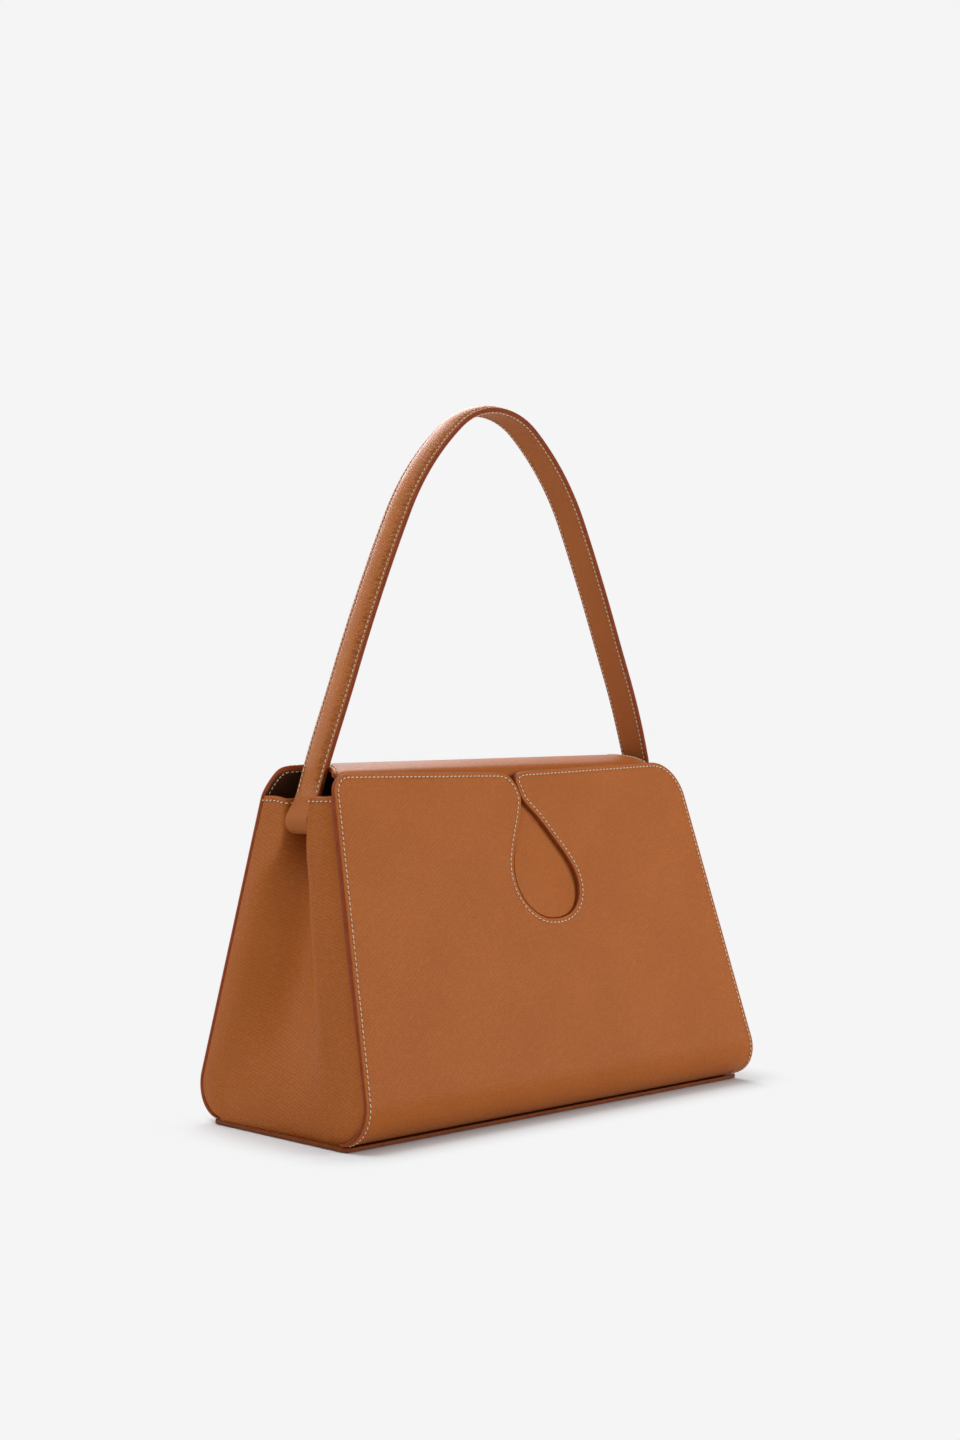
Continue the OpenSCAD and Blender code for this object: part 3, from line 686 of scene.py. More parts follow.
BACK_LINE = trace(FLAP_END, 180, (
    (7.59, 0), (7.959, -76), (30.35, -14), (33.52, math.degrees(LEAN) - 90), (154.93, 0),
    *ROLL_UNDER))
BACK_END = BACK_LINE.length - 0.05


def join_lines(*lines):
    """One line from several that meet end to end, without the repeated points."""
    whole = np.concatenate([np.array(line, float) for line in lines])
    return whole[np.r_[True, np.linalg.norm(np.diff(whole, axis=0), axis=1) > 0.02]]


def side_x(z):
    """Half the width of the panels at a height."""
    return TOP_HALF + FLARE * (1 - z / TOP_Z)


def past_turn(z):
    """0 at a panel's foot, where it turns under and is pared thin, and 1 from there up."""
    return smoothstep(z, 2.6, 11)


def pared(z):
    """Share of a layer's thickness that is left at a height."""
    return 0.3 + 0.7 * past_turn(z)


def on_back(x, s, depth):
    """A point of the back or the flap, depth millimetres under its outer face."""
    y, z, turn = BACK_LINE(s)
    return np.stack([x, y - depth * np.cos(turn), z - depth * np.sin(turn)], 1)


def back_s(z):
    """Distance along the back at a height on its straight part."""
    return STRAIGHT_S + (STRAIGHT_Z - z) / math.cos(LEAN)


def flap_half(front):
    """One half of the hide's edge, from the tongue to the turned-in end on the base, for x
    above 0. front gives the edge ahead of the notch behind the handle's leg."""
    notch = [(front[-1][0] + 5.6 * (1 - math.cos(a)), WAIST_S - 5.6 + 5.6 * math.sin(a))
             for a in np.radians(np.linspace(0, 80, 8))]
    shoulder = [(124.2 + 6.2 * math.sin(a), WAIST_S + 6.4 - 6.2 * math.cos(a))
                for a in np.radians(np.linspace(8, 90, 8))]
    down = []
    for s in np.linspace(WAIST_S + 9.5, BACK_END, 64):
        z = BACK_LINE(s)[1]
        down.append((side_x(min(z, 190)) - 1.2 * smoothstep(z, 178, 189), s))
    return join_lines(front, notch, shoulder, down)


flap_right = flap_half([(109, 0), (111, 1.4), (111.6, 6), (113.0, 14), (115, 25), (116.4, 44.9)])
flap_left = flap_half([(117, 0), (120.5, 1.8), (122, 6), (125.5, 12), (125.6, 15.4),
                       (121.6, 20), (118.6, 26), (117.3, 34), (117.0, 44.9)])
HIDE = anticlockwise(even_line(
    np.concatenate([flap_right, (flap_left * (-1, 1))[::-1], flap_right[:1]]), 1.6)[:-1])


def thins(near_flap, near_back):
    """A layer's depth, thinner on the flap than on the back."""
    def depth(x, s):
        share = np.where(s > ROLL_S, pared(BACK_LINE(s)[1]), 1)
        return (near_flap + (near_back - near_flap) * smoothstep(s, 58, 88)) * share
    return depth


def back_lip(x, s):
    """How far the painted edge reaches down the back's sides."""
    under = 0.3 + 0.3 * (1 - smoothstep(s, BACK_END - 9, BACK_END - 4))
    return 3.0 * np.where(s > ROLL_S, under + (1 - under) * past_turn(BACK_LINE(s)[1]), 1)


def bend_rows():
    """Rows of points across the hinge's bend, the same in each layer, so that all bend alike."""
    across = np.arange(-122, 123, 4.0)
    return [np.stack([across, np.full(len(across), s)], 1) for s in np.arange(57, 91, 1.5)]


def mirrored(half):
    """A closed line round both sides, from the line of its right side."""
    return even_line(half + [(-x, s) for x, s in half[::-1]] + half[:1], 3)[:-1]


hide = cut_piece("back_and_flap_leather", HIDE, on_back, 0.0, thins(1.2, 1.6),
                 (TAN, PAINT, TAN), ease=0.45, swell=0.3, lip=back_lip, extra=bend_rows())
stiffener = cut_piece("back_and_flap_board", HIDE + inward(HIDE) * 0.5, on_back, thins(1.2, 1.6),
                      thins(2.2, 3.0), (BOARD, PAINT, PAINT), ease=0.1, sink=0, spacing=7,
                      extra=bend_rows())
flap_inner = cut_piece("flap_inner_lining", HIDE[HIDE[:, 1] < back_s(160)], on_back,
                       thins(2.2, 3.0), thins(3.0, 3.6), (LINING, PAINT, LINING), ease=0.15,
                       sink=0, spacing=6, extra=bend_rows())
wall_side = [(side_x(BACK_LINE(s)[1]) - LINING_IN, s)
             for s in np.linspace(back_s(160) + 0.2, BACK_END, 40)]
back_lining = cut_piece("back_wall_lining", mirrored(wall_side), on_back, 3.0, 3.6,
                        [LINING] * 3, ease=0.1, sink=0, spacing=8)
for piece, nodes, slot in (
        (hide, ("back_panel", "flap_leather"), "grained_leather"),
        (stiffener, ("back_board", "flap_board"), "leatherboard"),
        (flap_inner, ("flap_lining",), "lining")):
    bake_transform(piece)
    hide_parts(*nodes)
fixed(back_lining, "lining", "back_lining")

flap_rows = [row_on(row, on_back, 0.12) for row in
             sewn_rows(HIDE, lambda p: (p[:, 1] > 9) & (p[:, 1] < BACK_END - 1), 2.2)]
# The same seam shows on the flap's lining, where its way out is the other way
for row in sewn_rows(HIDE, lambda p: (p[:, 1] > 9) & (p[:, 1] < back_s(181)), 2.2):
    points, out_way = row_on(row, on_back, 3.1)
    flap_rows.append((points, -out_way))
seam = sew("flap_and_back_stitching", flap_rows)
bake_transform(seam)

# Front. A stiff panel whose hide is slit from the top edge into a drop-shaped keyhole.
# Its edges are painted thickly, and a second leather behind it shows in the keyhole.
SLOPE_END_Z = 26.79
MOUTH_HALF = 29.5
FRONT_LINE = trace((MOUTH_HALF, TOP_Z), math.degrees(LEAN), (
    ((TOP_Z - SLOPE_END_Z) / math.cos(LEAN), 0), *ROLL_UNDER))
FRONT_END = FRONT_LINE.length - 0.05
FRONT_SEAM_IN = 2.25
RIGHT_CORNER_R, LEFT_CORNER_R = 23, 10.5
# The top edge dips a little towards the slit
DIP = 2.35


def spline(points, step):
    """A smooth curve through a few points, given again at an even step."""
    points = np.array(points, float)
    chord = running(points)
    n = len(points)
    gap = np.diff(chord)
    grid = np.eye(n)
    right = np.zeros((n, points.shape[1]))
    for i in range(1, n - 1):
        grid[i, i - 1:i + 2] = gap[i - 1], 2 * (gap[i - 1] + gap[i]), gap[i]
        right[i] = 6 * ((points[i + 1] - points[i]) / gap[i]
                        - (points[i] - points[i - 1]) / gap[i - 1])
    bend = np.linalg.solve(grid, right)
    at = np.linspace(0, chord[-1], max(2, int(round(chord[-1] / step)) + 1))
    k = np.clip(np.searchsorted(chord, at, side="right") - 1, 0, n - 2)
    h, a, b = gap[k, None], (chord[k + 1] - at)[:, None], (at - chord[k])[:, None]
    return ((bend[k] * a ** 3 + bend[k + 1] * b ** 3) / (6 * h)
            + (points[k] / h - bend[k] * h / 6) * a + (points[k + 1] / h - bend[k + 1] * h / 6) * b)


def on_front(x, s, depth):
    """A point of the front, s millimetres down its face and depth millimetres under it."""
    y, z, turn = FRONT_LINE(s)
    return np.stack([x, -(y - depth * np.cos(turn)), z - depth * np.sin(turn)], 1)


def front_side(sign, corner_r):
    """A side edge of the front from its top corner to the turned-in end on the base."""
    tilt = math.degrees(math.atan2(FLARE, TOP_Z))
    middle_x = side_x(TOP_Z - corner_r) - corner_r / math.cos(math.radians(tilt))
    corner = [(middle_x + corner_r * math.cos(a), corner_r * (1 - math.sin(a)) / math.cos(LEAN))
              for a in np.radians(np.linspace(90, tilt, 14))]
    down = [(side_x(FRONT_LINE(s)[1]), s)
            for s in np.linspace(corner[-1][1] + 3, FRONT_END, 50)]
    return np.array(corner + down) * (sign, 1)


slit_and_keyhole = spline([
    (16, DIP - 0.1), (8, DIP), (2.6, 2.75), (-1.3, 4.4), (-2.9, 7.2), (-2.2, 11.4), (-0.7, 17.2),
    (5.0, 24.6), (12.3, 33.6), (19.7, 44.2), (26.4, 54.7), (29.9, 64.1), (30.0, 71.5),
    (27.4, 78.2), (21.6, 83.9), (13.6, 86.8), (5.6, 87.2), (-2.4, 85.4), (-9.6, 80.6),
    (-14.8, 73.6), (-17.2, 65.6), (-17.3, 58.0), (-14.7, 48.8), (-10.2, 38.8), (-5.6, 29.6),
    (-2.7, 22.6), (-1.5, 17.6), (-2.3, 13.0), (-3.8, 9.4), (-6.8, 5.6), (-12.4, 3.1),
    (-20, DIP + 0.05), (-30, DIP - 0.25)], 0.9)
right_side = front_side(1, RIGHT_CORNER_R)
left_side = front_side(-1, LEFT_CORNER_R)
FRONT = anticlockwise(np.concatenate([
    even_line(join_lines(right_side[::-1], slit_and_keyhole[:1]), 1.6)[:-1], slit_and_keyhole,
    even_line(join_lines(slit_and_keyhole[-1:], left_side), 1.6)[1:],
    even_line([left_side[-1], right_side[-1]], 3.0)[1:-1]]))
KEYHOLE = anticlockwise(slit_and_keyhole[slit_and_keyhole[:, 1] > 17])


def front_depth(thick):
    """A layer's depth under the front's face, pared where the front turns under."""
    return lambda x, s: thick * pared(FRONT_LINE(s)[1])


def front_lip(x, s):
    """How far the painted edge reaches: down the sides it takes in the gusset's allowance."""
    z = FRONT_LINE(s)[1]
    beside = (side_x(z) - np.abs(x) < 2) * smoothstep(s, 11, 14) * smoothstep(z, 40, 110)
    under = 0.3 + 0.4 * (1 - smoothstep(s, FRONT_END - 7, FRONT_END - 3))
    return (3.0 + 1.5 * beside) * (under + (1 - under) * past_turn(z))


def drop_bulge(x, s):
    """The keyhole's leather is pushed forward to the panel's face at its lower left."""
    places = np.stack([x, s], 1)
    push = smoothstep(-(x - 6.8) * 0.80 + (s - 63.3) * 0.60, -20, 19)
    open_gap = np.where(within(places, KEYHOLE), gap_to(places, KEYHOLE), 0)
    return -2.65 * push * smoothstep(open_gap, -0.05, 0.8)


def keyhole_rings():
    """Extra rows of points along the keyhole, for the leather behind it."""
    rings = []
    for inset in (-0.5, 0.02, 0.3, 0.6, 0.9, 1.4, 2.4):
        row = KEYHOLE + inward(KEYHOLE) * inset
        rings.append(row[gap_to(row, KEYHOLE) > abs(inset) * 0.97 - 0.005])
    return rings


front = cut_piece("front_leather", FRONT, on_front, 0.0, front_depth(1.6), (TAN, PAINT, TAN),
                  ease=0.45, stitch_in=FRONT_SEAM_IN, swell=0.3, lip=front_lip)
front_board = cut_piece("front_board_layer", FRONT + inward(FRONT) * 0.5, on_front,
                        front_depth(1.6), front_depth(3.0), (BOARD, PAINT, PAINT), ease=0.1,
                        sink=0, spacing=7)
lining_line = mirrored([(side_x(FRONT_LINE(s)[1]) - LINING_IN, s)
                        for s in np.linspace(14.6, FRONT_END, 60)])
backing = cut_piece("keyhole_leather", lining_line, on_front, 3.0, 4.4, (TAN, PAINT, TAN),
                    ease=0.2, sink=0, spacing=3.0, relief=drop_bulge, extra=keyhole_rings())
front_lining = cut_piece("front_wall_lining", lining_line, on_front, 4.4, 5.2, [LINING] * 3,
                         ease=0.1, sink=0, spacing=8)
fixed(front, "grained_leather", "front_panel")
fixed(front_board, "leatherboard", "front_board")
fixed(backing, "smooth_leather", "front_backing")
fixed(front_lining, "lining", "front_lining")
front_seam = sew("front_stitching", [row_on(row, on_front, 0.12) for row in sewn_rows(
    FRONT, lambda p: p[:, 1] < FRONT_END - 1, FRONT_SEAM_IN)])
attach(front_seam, "root")


# Magnets. Plated discs are hidden between the layers, two in the front and two in the
# flap's tongue, where they close the bag. Their CAD shapes stay and are only dressed.
def dress(name, material):
    """Gives a CAD node its material."""
    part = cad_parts[name]
    part.data.materials.clear()
    part.data.materials.append(material)


MAGNET = plain("plated_magnet", (0.42, 0.42, 0.44), (0.52, 0.52, 0.54), 1500, 0.35, metallic=1.0)
dress("front_magnets", MAGNET)
dress("flap_magnets", MAGNET)

# Gussets. Each end is one hide, folded into a pleat that is deep at the hem and fades out
# low down. Its seam allowances turn out along the panels, where their painted edges show.
GUSSET_TAN = leather("gusset_tan_leather", *TAN_SHADES, 0.39, 540, 0.00028,
                     breaks=(0.47, 0.55), slant=-4)
HEM_Z = 179.0
PLEAT_HALF = 9.8
# The panels' two lower arcs meet level with their centres, which are this far out
ARC_Z, ROLL_Y, UNDER_Y = 22.3, 55.4, 53.9
COLUMNS = 96
HEM_COLUMNS = 400


def clamped_curve(count, at):
    """Weights of a smooth curve's control points at places from 0 to 1 along it."""
    knots = np.r_[[0] * 3, np.linspace(0, 1, count - 2), [1] * 3]
    at = np.minimum(at, 1 - 1e-9)[:, None]
    weight = ((knots[:-1] <= at) & (at < knots[1:])).astype(float)
    for degree in (1, 2, 3):
        n = len(knots) - 1 - degree
        left = knots[degree:degree + n] - knots[:n]
        right = knots[degree + 1:degree + 1 + n] - knots[1:1 + n]
        rising = np.where(left > 0, (at - knots[:n]) / np.where(left > 0, left, 1), 0)
        falling = np.where(right > 0, (knots[degree + 1:degree + 1 + n] - at)
                           / np.where(right > 0, right, 1), 0)
        weight = rising * weight[:, :n] + falling * weight[:, 1:n + 1]
    return weight


def wall_inner_y(z, depth):
    """Half depth, at a height, of a surface inside the panels' outer faces."""
    depth = depth * float(pared(z))
    if z > SLOPE_END_Z:
        return MOUTH_HALF + (TOP_Z - z) * math.tan(LEAN) - depth / math.cos(LEAN)
    if z > ARC_Z:
        return ROLL_Y + math.sqrt((ROLL_R - depth) ** 2 - (z - ARC_Z) ** 2)
    low = ARC_Z - UNDER_R + depth
    if z > low:
        return UNDER_Y + math.sqrt(max((UNDER_R - depth) ** 2 - (ARC_Z - z) ** 2, 0))
    return UNDER_Y - (low - z) * 1.3


# The pleat at a few heights: height, depth, and where its ridge, valley and shoulder run in y
PLEAT = spline((
    (0, 0, -36, 0, 48), (22, 0.8, -35.5, 0, 47), (44, 5, -33, 0, 43), (74, 11.5, -27, 0, 36),
    (100, 14.2, -21.5, -3, 30), (125, 16.5, -16, -4, 24), (145, 21, -12.5, -2.5, 17),
    (160, 24.5, -10.5, -1, 13), (179, 26, -9.9, 0, 11)), 0.5)


def gusset_row(z):
    """Control points across a gusset at a height, as (y, distance in from the panels' edges).
    The pleat is a steep-sided box at the hem and a loose fold further down."""
    high, fold = smoothstep(z, 60, 170), smoothstep(z, 30, 85)
    front, back = wall_inner_y(z, 3.3 + 1.2 * high), wall_inner_y(z, 3.1)
    deep, ridge, valley, rear = (np.interp(z, PLEAT[:, 0], PLEAT[:, i]) for i in (1, 2, 3, 4))
    deep = max(deep, 0)
    slack = 1 - smoothstep(z, 132, 163)
    seam = 1.4 + 2.4 * high
    crest = seam - 0.9 - 2.6 * fold * (0.45 + 0.55 * high)
    low = crest - 0.5 * fold - 0.2 * high
    full = 0.35
    near, far, rest = valley - ridge, rear - valley, back - rear
    steep = np.array([
        (-front, seam + 0.9), (-front + 1.6, seam - 0.4), (-front * 0.62 - 4.5, crest + 0.6),
        (-14.2, crest + 0.1), (-11.0, low), (-9.9, low), (-9.8, crest + 0.30 * deep),
        (-11.3, crest + 0.75 * deep), (-8.6, crest + 1.02 * deep), (0, crest + deep * 1.04),
        (8.6, crest + 1.02 * deep), (11.3, crest + 0.75 * deep), (10.4, crest + 0.35 * deep),
        (11.0, crest + 0.3), (14.2, full + 0.5), (back * 0.72 + 4.4, full - 0.3),
        (back - 1.2, full - 0.2), (back + 0.2, 0.1)])
    loose = np.array([
        (-front, seam + 0.9), (-front + 1.6, seam - 0.4), ((ridge - front) / 2 - 2, crest + 0.6),
        (ridge - 6, crest), (ridge - 2.4, low), (ridge + 1.8, low + 0.06 * deep),
        (ridge + 0.22 * near, crest + 0.30 * deep), (ridge + 0.50 * near, crest + 0.66 * deep),
        (ridge + 0.80 * near, crest + 0.95 * deep), (valley + 0.12 * far, crest + 1.02 * deep),
        (valley + 0.38 * far, crest + 0.84 * deep), (valley + 0.62 * far, crest + 0.50 * deep),
        (valley + 0.84 * far, full + 0.22 * deep), (rear + 0.06 * rest, full + 0.05 * deep),
        (rear + 0.32 * rest, full - 0.7), (rear + 0.66 * rest, full - 1.0),
        (back - 3.2, full - 0.7), (back + 0.2, 0.1)])
    return steep * (1 - slack) + loose * slack


def gusset_grid(rows, columns):
    """Outer points of a gusset for the bag's right side, by row and column."""
    weights = clamped_curve(18, np.linspace(0, 1, columns))
    grid = []
    for z in rows:
        y, inset = (weights @ gusset_row(z)).T
        to_front = 0.4 + 0.6 * smoothstep(-y, -40, 30)
        inset = inset + 2.2 * to_front * (max(14 - z, 0) / 11.7) ** 2.2
        droop = 1.5 * np.exp(-((y - 11) / 6) ** 2) * smoothstep(z, 165, HEM_Z)
        front_gap = y + wall_inner_y(z, 4.5)
        small_folds = (0.14 * np.sin(z * 1.35 + front_gap * 0.9 + 1.6 * math.sin(z * 0.11))
                       + 0.08 * np.sin(z * 2.3 - front_gap * 0.6 + 2.0 * math.sin(z * 0.07)))
        small_folds *= (smoothstep(front_gap, 0.8, 2.5) * (1 - smoothstep(front_gap, 4, 9.5))
                        * smoothstep(z, 60, 110))
        grid.append(np.stack([side_x(z) - inset + small_folds, y, z - droop], 1))
    return np.array(grid)


def grid_way_out(grid):
    """Outward direction at each point of a gusset's grid, plainly sideways at its turned foot."""
    way = unit(np.cross(np.gradient(grid, axis=1), np.gradient(grid, axis=0)))
    share = smoothstep(grid[..., 2:], 5, 13)
    return unit(way * share + np.array([1.0, 0, 0]) * (1 - share))


def gusset_piece(name, side, near, far, skins):
    """A gusset's leather or lining, between two depths under its outer face."""
    rows = np.r_[2.35, 2.7, 3.3, 4.2, 5.2, 6.4, 7.8, np.arange(9.4, HEM_Z - 1.4, 1.6),
                 HEM_Z - 0.9, HEM_Z - 0.35, HEM_Z]
    grid = gusset_grid(rows, COLUMNS)
    way = grid_way_out(grid)
    count = len(rows)
    hem_round = np.r_[np.zeros(count - 2), 0.06, 0.42]
    outer = grid - way * (near + hem_round[:, None, None])
    points = np.concatenate([outer.reshape(-1, 3), (grid - way * far).reshape(-1, 3)])
    run = np.array([running(row) for row in grid])
    run -= run[:, COLUMNS // 3][:, None]
    flat = np.stack([run, np.repeat(rows[:, None], COLUMNS, 1)], 2).reshape(-1, 2)
    total = count * COLUMNS
    cell = np.arange(total).reshape(count, COLUMNS)
    quads = np.stack([cell[:-1, :-1], cell[:-1, 1:], cell[1:, 1:], cell[1:, :-1]], -1)
    faces = [face for a, b, c, d in quads.reshape(-1, 4).tolist()
             for face in ((a, b, c, d), (total + a, total + d, total + c, total + b))]
    ring = np.r_[cell[0], cell[1:, -1], cell[-1, -2::-1], cell[-2:0:-1, 0]].tolist()
    finish = [0, 2] * (len(faces) // 2) + [1] * len(ring)
    faces += [(b, a, total + a, total + b) for a, b in zip(ring, ring[1:] + ring[:1])]
    uv = [flat[v % total] for face in faces for v in face]
    y, z = grid.reshape(-1, 3)[:, 1:].T
    edge_gap = np.minimum(HEM_Z - z, np.array([wall_inner_y(h, 3.3) for h in z]) - np.abs(y))
    if side < 0:
        points = points * (-1, 1, 1)
        faces, uv = turned_over(faces, uv)
    return mesh_piece(name, points, faces, finish, skins, uv, np.tile(np.maximum(edge_gap, 0), 2))


def flange_line():
    """The allowance beside the front's edge: a strip from the hem to the panel's lower end."""
    s = np.linspace(12.42, FRONT_END, 120)
    z = FRONT_LINE(s)[1]
    edge = np.stack([side_x(z) - 0.5 - 2.1 * (1 - smoothstep(z, 40, 110)), s], 1)
    return even_line(np.concatenate([edge, (edge - (6.5, 0))[::-1], edge[:1]]), 1.6)[:-1]


hem_rows = []
for side, label in ((-1, "left"), (1, "right")):
    gusset = gusset_piece(label + "_gusset_leather", side, 0.0, 1.6, (GUSSET_TAN, PAINT, TAN))
    fixed(gusset, "grained_leather", label + "_gusset")
    gusset_lining = gusset_piece(label + "_gusset_inner_lining", side, 1.6, 2.4, [LINING] * 3)
    fixed(gusset_lining, "lining", label + "_gusset_lining")
    flange = cut_piece(label + "_gusset_front_seam", flange_line() * (side, 1), on_front,
                       front_depth(3.0), front_depth(4.4), (TAN, PAINT, TAN), ease=0.2, sink=0,
                       spacing=3)
    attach(flange, "root")
    hem = gusset_grid(HEM_Z - np.array([3.4, 2.6, 1.8]), HEM_COLUMNS)
    way = grid_way_out(hem)[1]
    hem = hem[1]
    outside = hem[:, 0] > side_x(HEM_Z) - 5.5
    # The hem is sewn to the panels on both sides of the pleat, and not inside it
    for part in ((hem[:, 1] < -PLEAT_HALF) & outside, (hem[:, 1] > PLEAT_HALF) & outside):
        out_way = way[part][2:-2] * (side, 1, 1)
        hem_rows.append((hem[part][2:-2] * (side, 1, 1) + out_way * 0.02, out_way))
hem_seam = sew("gusset_hem_stitching", hem_rows)
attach(hem_seam, "root")

# Handle. One strap of two leathers with a raised filled middle, sewn along both edges and
# painted there. It arches over the bag in three arcs a side and ends in two smooth loops.
STRAP_HALF = 9.85
EDGE_DEPTH = 2.25
STRAP_BACK = 4.82
SEAM_OUT, SEAM_IN_END = 8.3, 1.7
FOOT_Z, STRAP_LOW_Z, HANDLE_TOP = 177.4, 178.0, 398.0
# How far the arch leans from upright where its arcs begin, in degrees
LEANS = (17, 25.2, 48.8, 90)
CROWN_SHARE = 0.283


def sweep(name, at, out_way, across, section, depth, finish, skins, seam):
    """A closed section carried along a line: section gives the places across, and depth the
    depths under the line at each station."""
    n, m = len(at), len(section)
    points = (at[:, None, :] + across[:, None, :] * np.asarray(section)[None, :, None]
              - out_way[:, None, :] * depth[..., None]).reshape(-1, 3)
    run = running(at)
    girth = running(np.stack([section, depth[n // 2]], 1))
    faces, kinds, uv = [], [], []
    for i in range(n - 1):
        for j in range(m):
            k = (j + 1) % m
            faces.append((i * m + j, i * m + k, (i + 1) * m + k, (i + 1) * m + j))
            kinds.append(finish[j])
            last = girth[-1] + 1 if k == 0 else girth[k]
            uv += [(run[i], girth[j]), (run[i], last), (run[i + 1], last), (run[i + 1], girth[j])]
    for cap in (tuple(range(m))[::-1], tuple((n - 1) * m + j for j in range(m))):
        faces.append(cap)
        kinds.append(1)
        uv += [(run[v // m], girth[v % m]) for v in cap]
    a, b, c = (points[v] for v in faces[m // 4][:3])
    if np.cross(b - a, c - a) @ (a - points[:m].mean(0)) < 0:
        faces, uv = turned_over(faces, uv)
    return mesh_piece(name, points, faces, kinds, skins, uv, np.tile(seam, n))


# The arcs' radii follow from the arch's half width and its height
leg_lean, shoulder_lean, crown_lean = (math.radians(lean) for lean in LEANS[:3])
handle_x = side_x(STRAP_LOW_Z) - 3.7
sums = np.array([
    [math.cos(leg_lean) - math.cos(shoulder_lean),
     math.cos(shoulder_lean) - math.cos(crown_lean) + CROWN_SHARE * math.cos(crown_lean)],
    [math.sin(shoulder_lean) - math.sin(leg_lean),
     math.sin(crown_lean) - math.sin(shoulder_lean) + CROWN_SHARE * (1 - math.sin(crown_lean))]])
leg_r, shoulder_r = np.linalg.solve(sums, (handle_x, HANDLE_TOP - STRAP_LOW_Z))
foot_run = (STRAP_LOW_Z - FOOT_Z) / math.cos(leg_lean)
arcs = [(radius * math.radians(end - start), start - end) for radius, start, end in
        zip((leg_r, shoulder_r, CROWN_SHARE * shoulder_r), LEANS, LEANS[1:])]
ARCH = trace((-handle_x - foot_run * math.sin(leg_lean), FOOT_Z), 180 - LEANS[0],
             ((foot_run, 0), *arcs, *arcs[::-1], (foot_run, 0)))


def on_arch(t):
    """Points, outward and sideways directions along the handle's outer line. The real
    handle leans a little forward and to the right as it rises."""
    x, z, turn = ARCH(t)
    to_right = smoothstep(x, -80, 80) * smoothstep(z, 172, 194)
    shift = 2.1 * smoothstep(z, 182, 245) + to_right * (4.4 + 2.2 * (1 - smoothstep(z, 200, 270)))
    at = np.stack([x + shift, -0.027 * np.clip(z - STRAP_LOW_Z, 0, None), z], 1)
    out_way = np.stack([np.cos(turn), 0 * turn, np.sin(turn)], 1)
    across = np.stack([0 * z, 1 + 0.045 * smoothstep(z, 182, 215), 0 * z], 1)
    return at, out_way, across


# Each station has places across the top, then down one edge, under and up the other edge
half_section = np.array([9.85, 9.76, 9.5, 9.0, 8.65, 8.3, 7.95, 7.6, 7.2, 6.8, 6.3, 5.6, 4.6, 3.4,
                         2.0, 0.7])
top_places = np.r_[half_section, -half_section[::-1]]
stations = np.arange(0, ARCH.length + 0.01, 0.71)
stations[-1] = ARCH.length
middle = np.abs(top_places)
t = stations[:, None]
crown_up = 2.2 * np.clip(1 - (middle / 7.7) ** 2.6, 0, 1)
edge_round = 0.42 * np.clip((middle - 9.4) / 0.45, 0, 1) ** 2
groove = 0.18 * np.exp(-((middle - SEAM_OUT) / 0.45) ** 2)
# The seam draws the leather in at each stitch, more on one side, and wrinkles it beside
side_share = np.where(top_places < 0, 1.0, 0.5)
drawn_in = ((0.30 + 0.07 * np.sin(t * 0.37) + 0.06 * np.sin(t * 0.83 + 1))
            * np.cos(2 * math.pi * t / PITCH + 0.7 * np.sin(t * 0.21)))
pucker = drawn_in * side_share * np.exp(-((middle - 6.6) / 1.0) ** 2)
wrinkle = (0.09 * np.sin(t * 2.1 + middle * 1.3 + 1.8 * np.sin(t * 0.29))
           * side_share * np.exp(-((middle - 5.2) / 1.3) ** 2))
fill = 0.25 + 0.75 * smoothstep(np.minimum(t, ARCH.length - t), 3, 20)
depth_top = EDGE_DEPTH + edge_round + groove - crown_up * fill + (pucker + wrinkle) * fill
rim_depths = (2.85, 3.25, 3.5, 3.6)
places = np.r_[top_places, -9.93, -9.95, -9.88, -9.6, 9.6, 9.88, 9.95, 9.93]
depth = np.concatenate(
    [depth_top, np.tile((*rim_depths, *rim_depths[::-1]), (len(stations), 1))], 1)
# The paint laps over the last two strips of the top on each side
finish = [1, 1] + [0] * (len(top_places) - 5) + [1, 1] + [1] * 4 + [2] + [1] * 4


def gather(tree, height, colour, rough):
    """Adds the short creases that the tight seams draw into the padded leather beside them, with
    painted shade in their hollows.
    """
    seam = node(tree, "ShaderNodeAttribute", attribute_name="seam")["Fac"]
    drawn = node(tree, "ShaderNodeMapping", {
        "Vector": node(tree, "ShaderNodeUVMap", uv_map="hide")[0],
        "Rotation": (0, 0, math.radians(28)), "Scale": (640, 230, 1)})
    ridge = range_node(tree, noise(tree, drawn[0], 1, 2)["Fac"], 0.36, 0.64)
    past_seam = range_node(tree, seam, 0.0016, 0.0026)
    fading = range_node(tree, seam, 0.0032, 0.0068, 1.0, 0.0)
    band = math_node(tree, "MULTIPLY", past_seam, fading)
    raised = math_node(tree, "MULTIPLY", ridge, band)
    # Painted shade: the creases' hollows are darkened where shade falls in them
    low = math_node(tree, "MULTIPLY", range_node(tree, ridge, 0.0, 0.5, 0.6, 0.0), band)
    return (math_node(tree, "MULTIPLY_ADD", raised, 2.6, height),
            colour_mix(tree, low, colour, (0.20, 0.052, 0.012)),
            math_node(tree, "MULTIPLY_ADD", band, -0.1, rough))


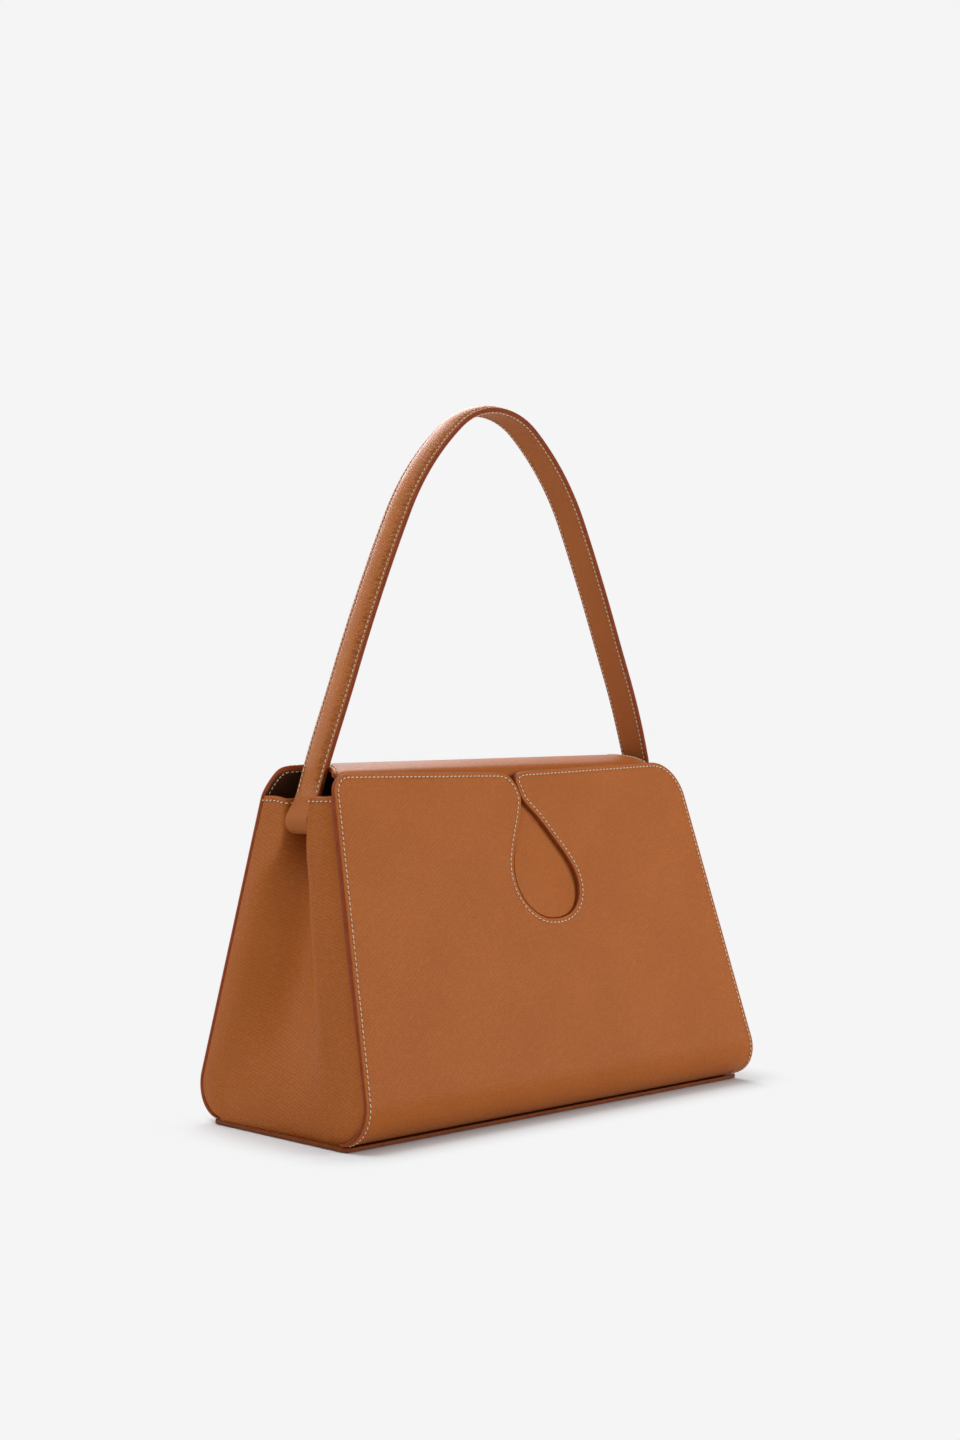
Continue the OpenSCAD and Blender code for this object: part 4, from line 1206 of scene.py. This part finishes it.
STRAP_TAN = leather("strap_leather", (0.425, 0.130, 0.026), (0.40, 0.119, 0.023),
                    (0.40, 0.118, 0.024), 0.33, 620, 0.0002, breaks=(0.56, 0.5), slant=25,
                    shine=0.1, creased=gather)
strap = sweep("strap_outer_leather", *on_arch(stations), places, depth, finish,
              (STRAP_TAN, PAINT, BOARD), np.r_[STRAP_HALF - middle, [0] * 8])
inner_places = np.r_[9.6, 9.9, 9.94, 9.9, 9.78, 9.45, 8.7, SEAM_OUT, 7.9, 4, 0]
inner_depth = np.array([3.6, 3.7, 4.0, 4.35, 4.65, 4.8, STRAP_BACK, 4.7, *[STRAP_BACK] * 3])
inner_places = np.r_[inner_places, -inner_places[-2::-1]]
inner_depth = np.r_[inner_depth, inner_depth[-2::-1]]
inner_strap = sweep("strap_inner_leather", *on_arch(stations), inner_places,
                    np.tile(inner_depth, (len(stations), 1)), [1] * 5 + [0] * 10 + [1] * 5 + [2],
                    (SMOOTH_TAN, PAINT, BOARD),
                    STRAP_HALF - np.minimum(np.abs(inner_places), STRAP_HALF))


def strap_row(depth, facing):
    """One closed stitch row along both edges of the strap and across its ends."""
    along = np.arange(SEAM_IN_END, ARCH.length - SEAM_IN_END, 0.8)
    cross = np.linspace(-SEAM_OUT, SEAM_OUT, 22)
    t = np.r_[along, np.full(len(cross), ARCH.length - SEAM_IN_END), along[::-1],
              np.full(len(cross), SEAM_IN_END)]
    w = np.r_[np.full(len(along), -SEAM_OUT), cross, np.full(len(along), SEAM_OUT), cross[::-1]]
    at, out_way, across = on_arch(t)
    return at + across * w[:, None] - out_way * depth, out_way * facing


strap_seam = sew("strap_stitching", [strap_row(EDGE_DEPTH + 0.12, 1), strap_row(4.74, -1)],
                 Hole=1.0 * MM)
for piece in (strap, inner_strap, strap_seam):
    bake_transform(piece)
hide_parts("handle_outer", "handle_core", "left_handle_end", "right_handle_end")
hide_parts("handle_lining")

# Loops. A strip of smooth leather is sewn under each end of the strap and folded round a
# wooden dowel, which holds it inside the gusset's pleat.
LOOP_X, LOOP_Z, LOOP_R = 127.36, 165.3, 6.75
fold = [(LOOP_X + LOOP_R * math.cos(a), LOOP_Z + LOOP_R * math.sin(a))
        for a in np.radians(np.linspace(18, -196, 15))]
loop_line = spline([(126.35, 180.4), (127.75, 177.2), (130.9, 172.6)] + fold
                   + [(121.9, 172.4), (123.6, 178.6)], 0.6)
tangent = unit(np.gradient(loop_line, axis=0))
# Across the strip: its eased outer face from edge to edge, then its inner face
loop_edge = np.array([(9.72, 0.9), (9.62, 0.38), (9.3, 0.12), (8.6, 0.02), (7, 0), (4, 0)])
loop_section = np.concatenate([
    loop_edge, [(0, 0)], loop_edge[::-1] * (-1, 1), [(-9.72, 1.7), (-9.4, 2.1), (9.4, 2.1),
                                                    (9.72, 1.7)]])
for side, label in ((-1, "left"), (1, "right")):
    flat_y = 0 * loop_line[:, 0]
    at = np.stack([side * loop_line[:, 0], flat_y, loop_line[:, 1]], 1)
    out_way = np.stack([-side * tangent[:, 1], flat_y, tangent[:, 0]], 1)
    loop = sweep(label + "_handle_loop_leather", at, out_way, np.tile((0.0, 1.0, 0.0), (len(at), 1)),
                 loop_section[:, 0], np.tile(loop_section[:, 1], (len(at), 1)),
                 [0] * 13 + [2] * 4, [SMOOTH_TAN] * 3, 12.72 - np.abs(loop_section[:, 0]))
    fixed(loop, "smooth_leather", label + "_handle_loop")
DOWEL = plain("dowel_wood", (0.48, 0.31, 0.16), (0.62, 0.43, 0.24), 180, 0.55, stretch=(6, 1, 6))
dress("left_loop_dowel", DOWEL)
dress("right_loop_dowel", DOWEL)
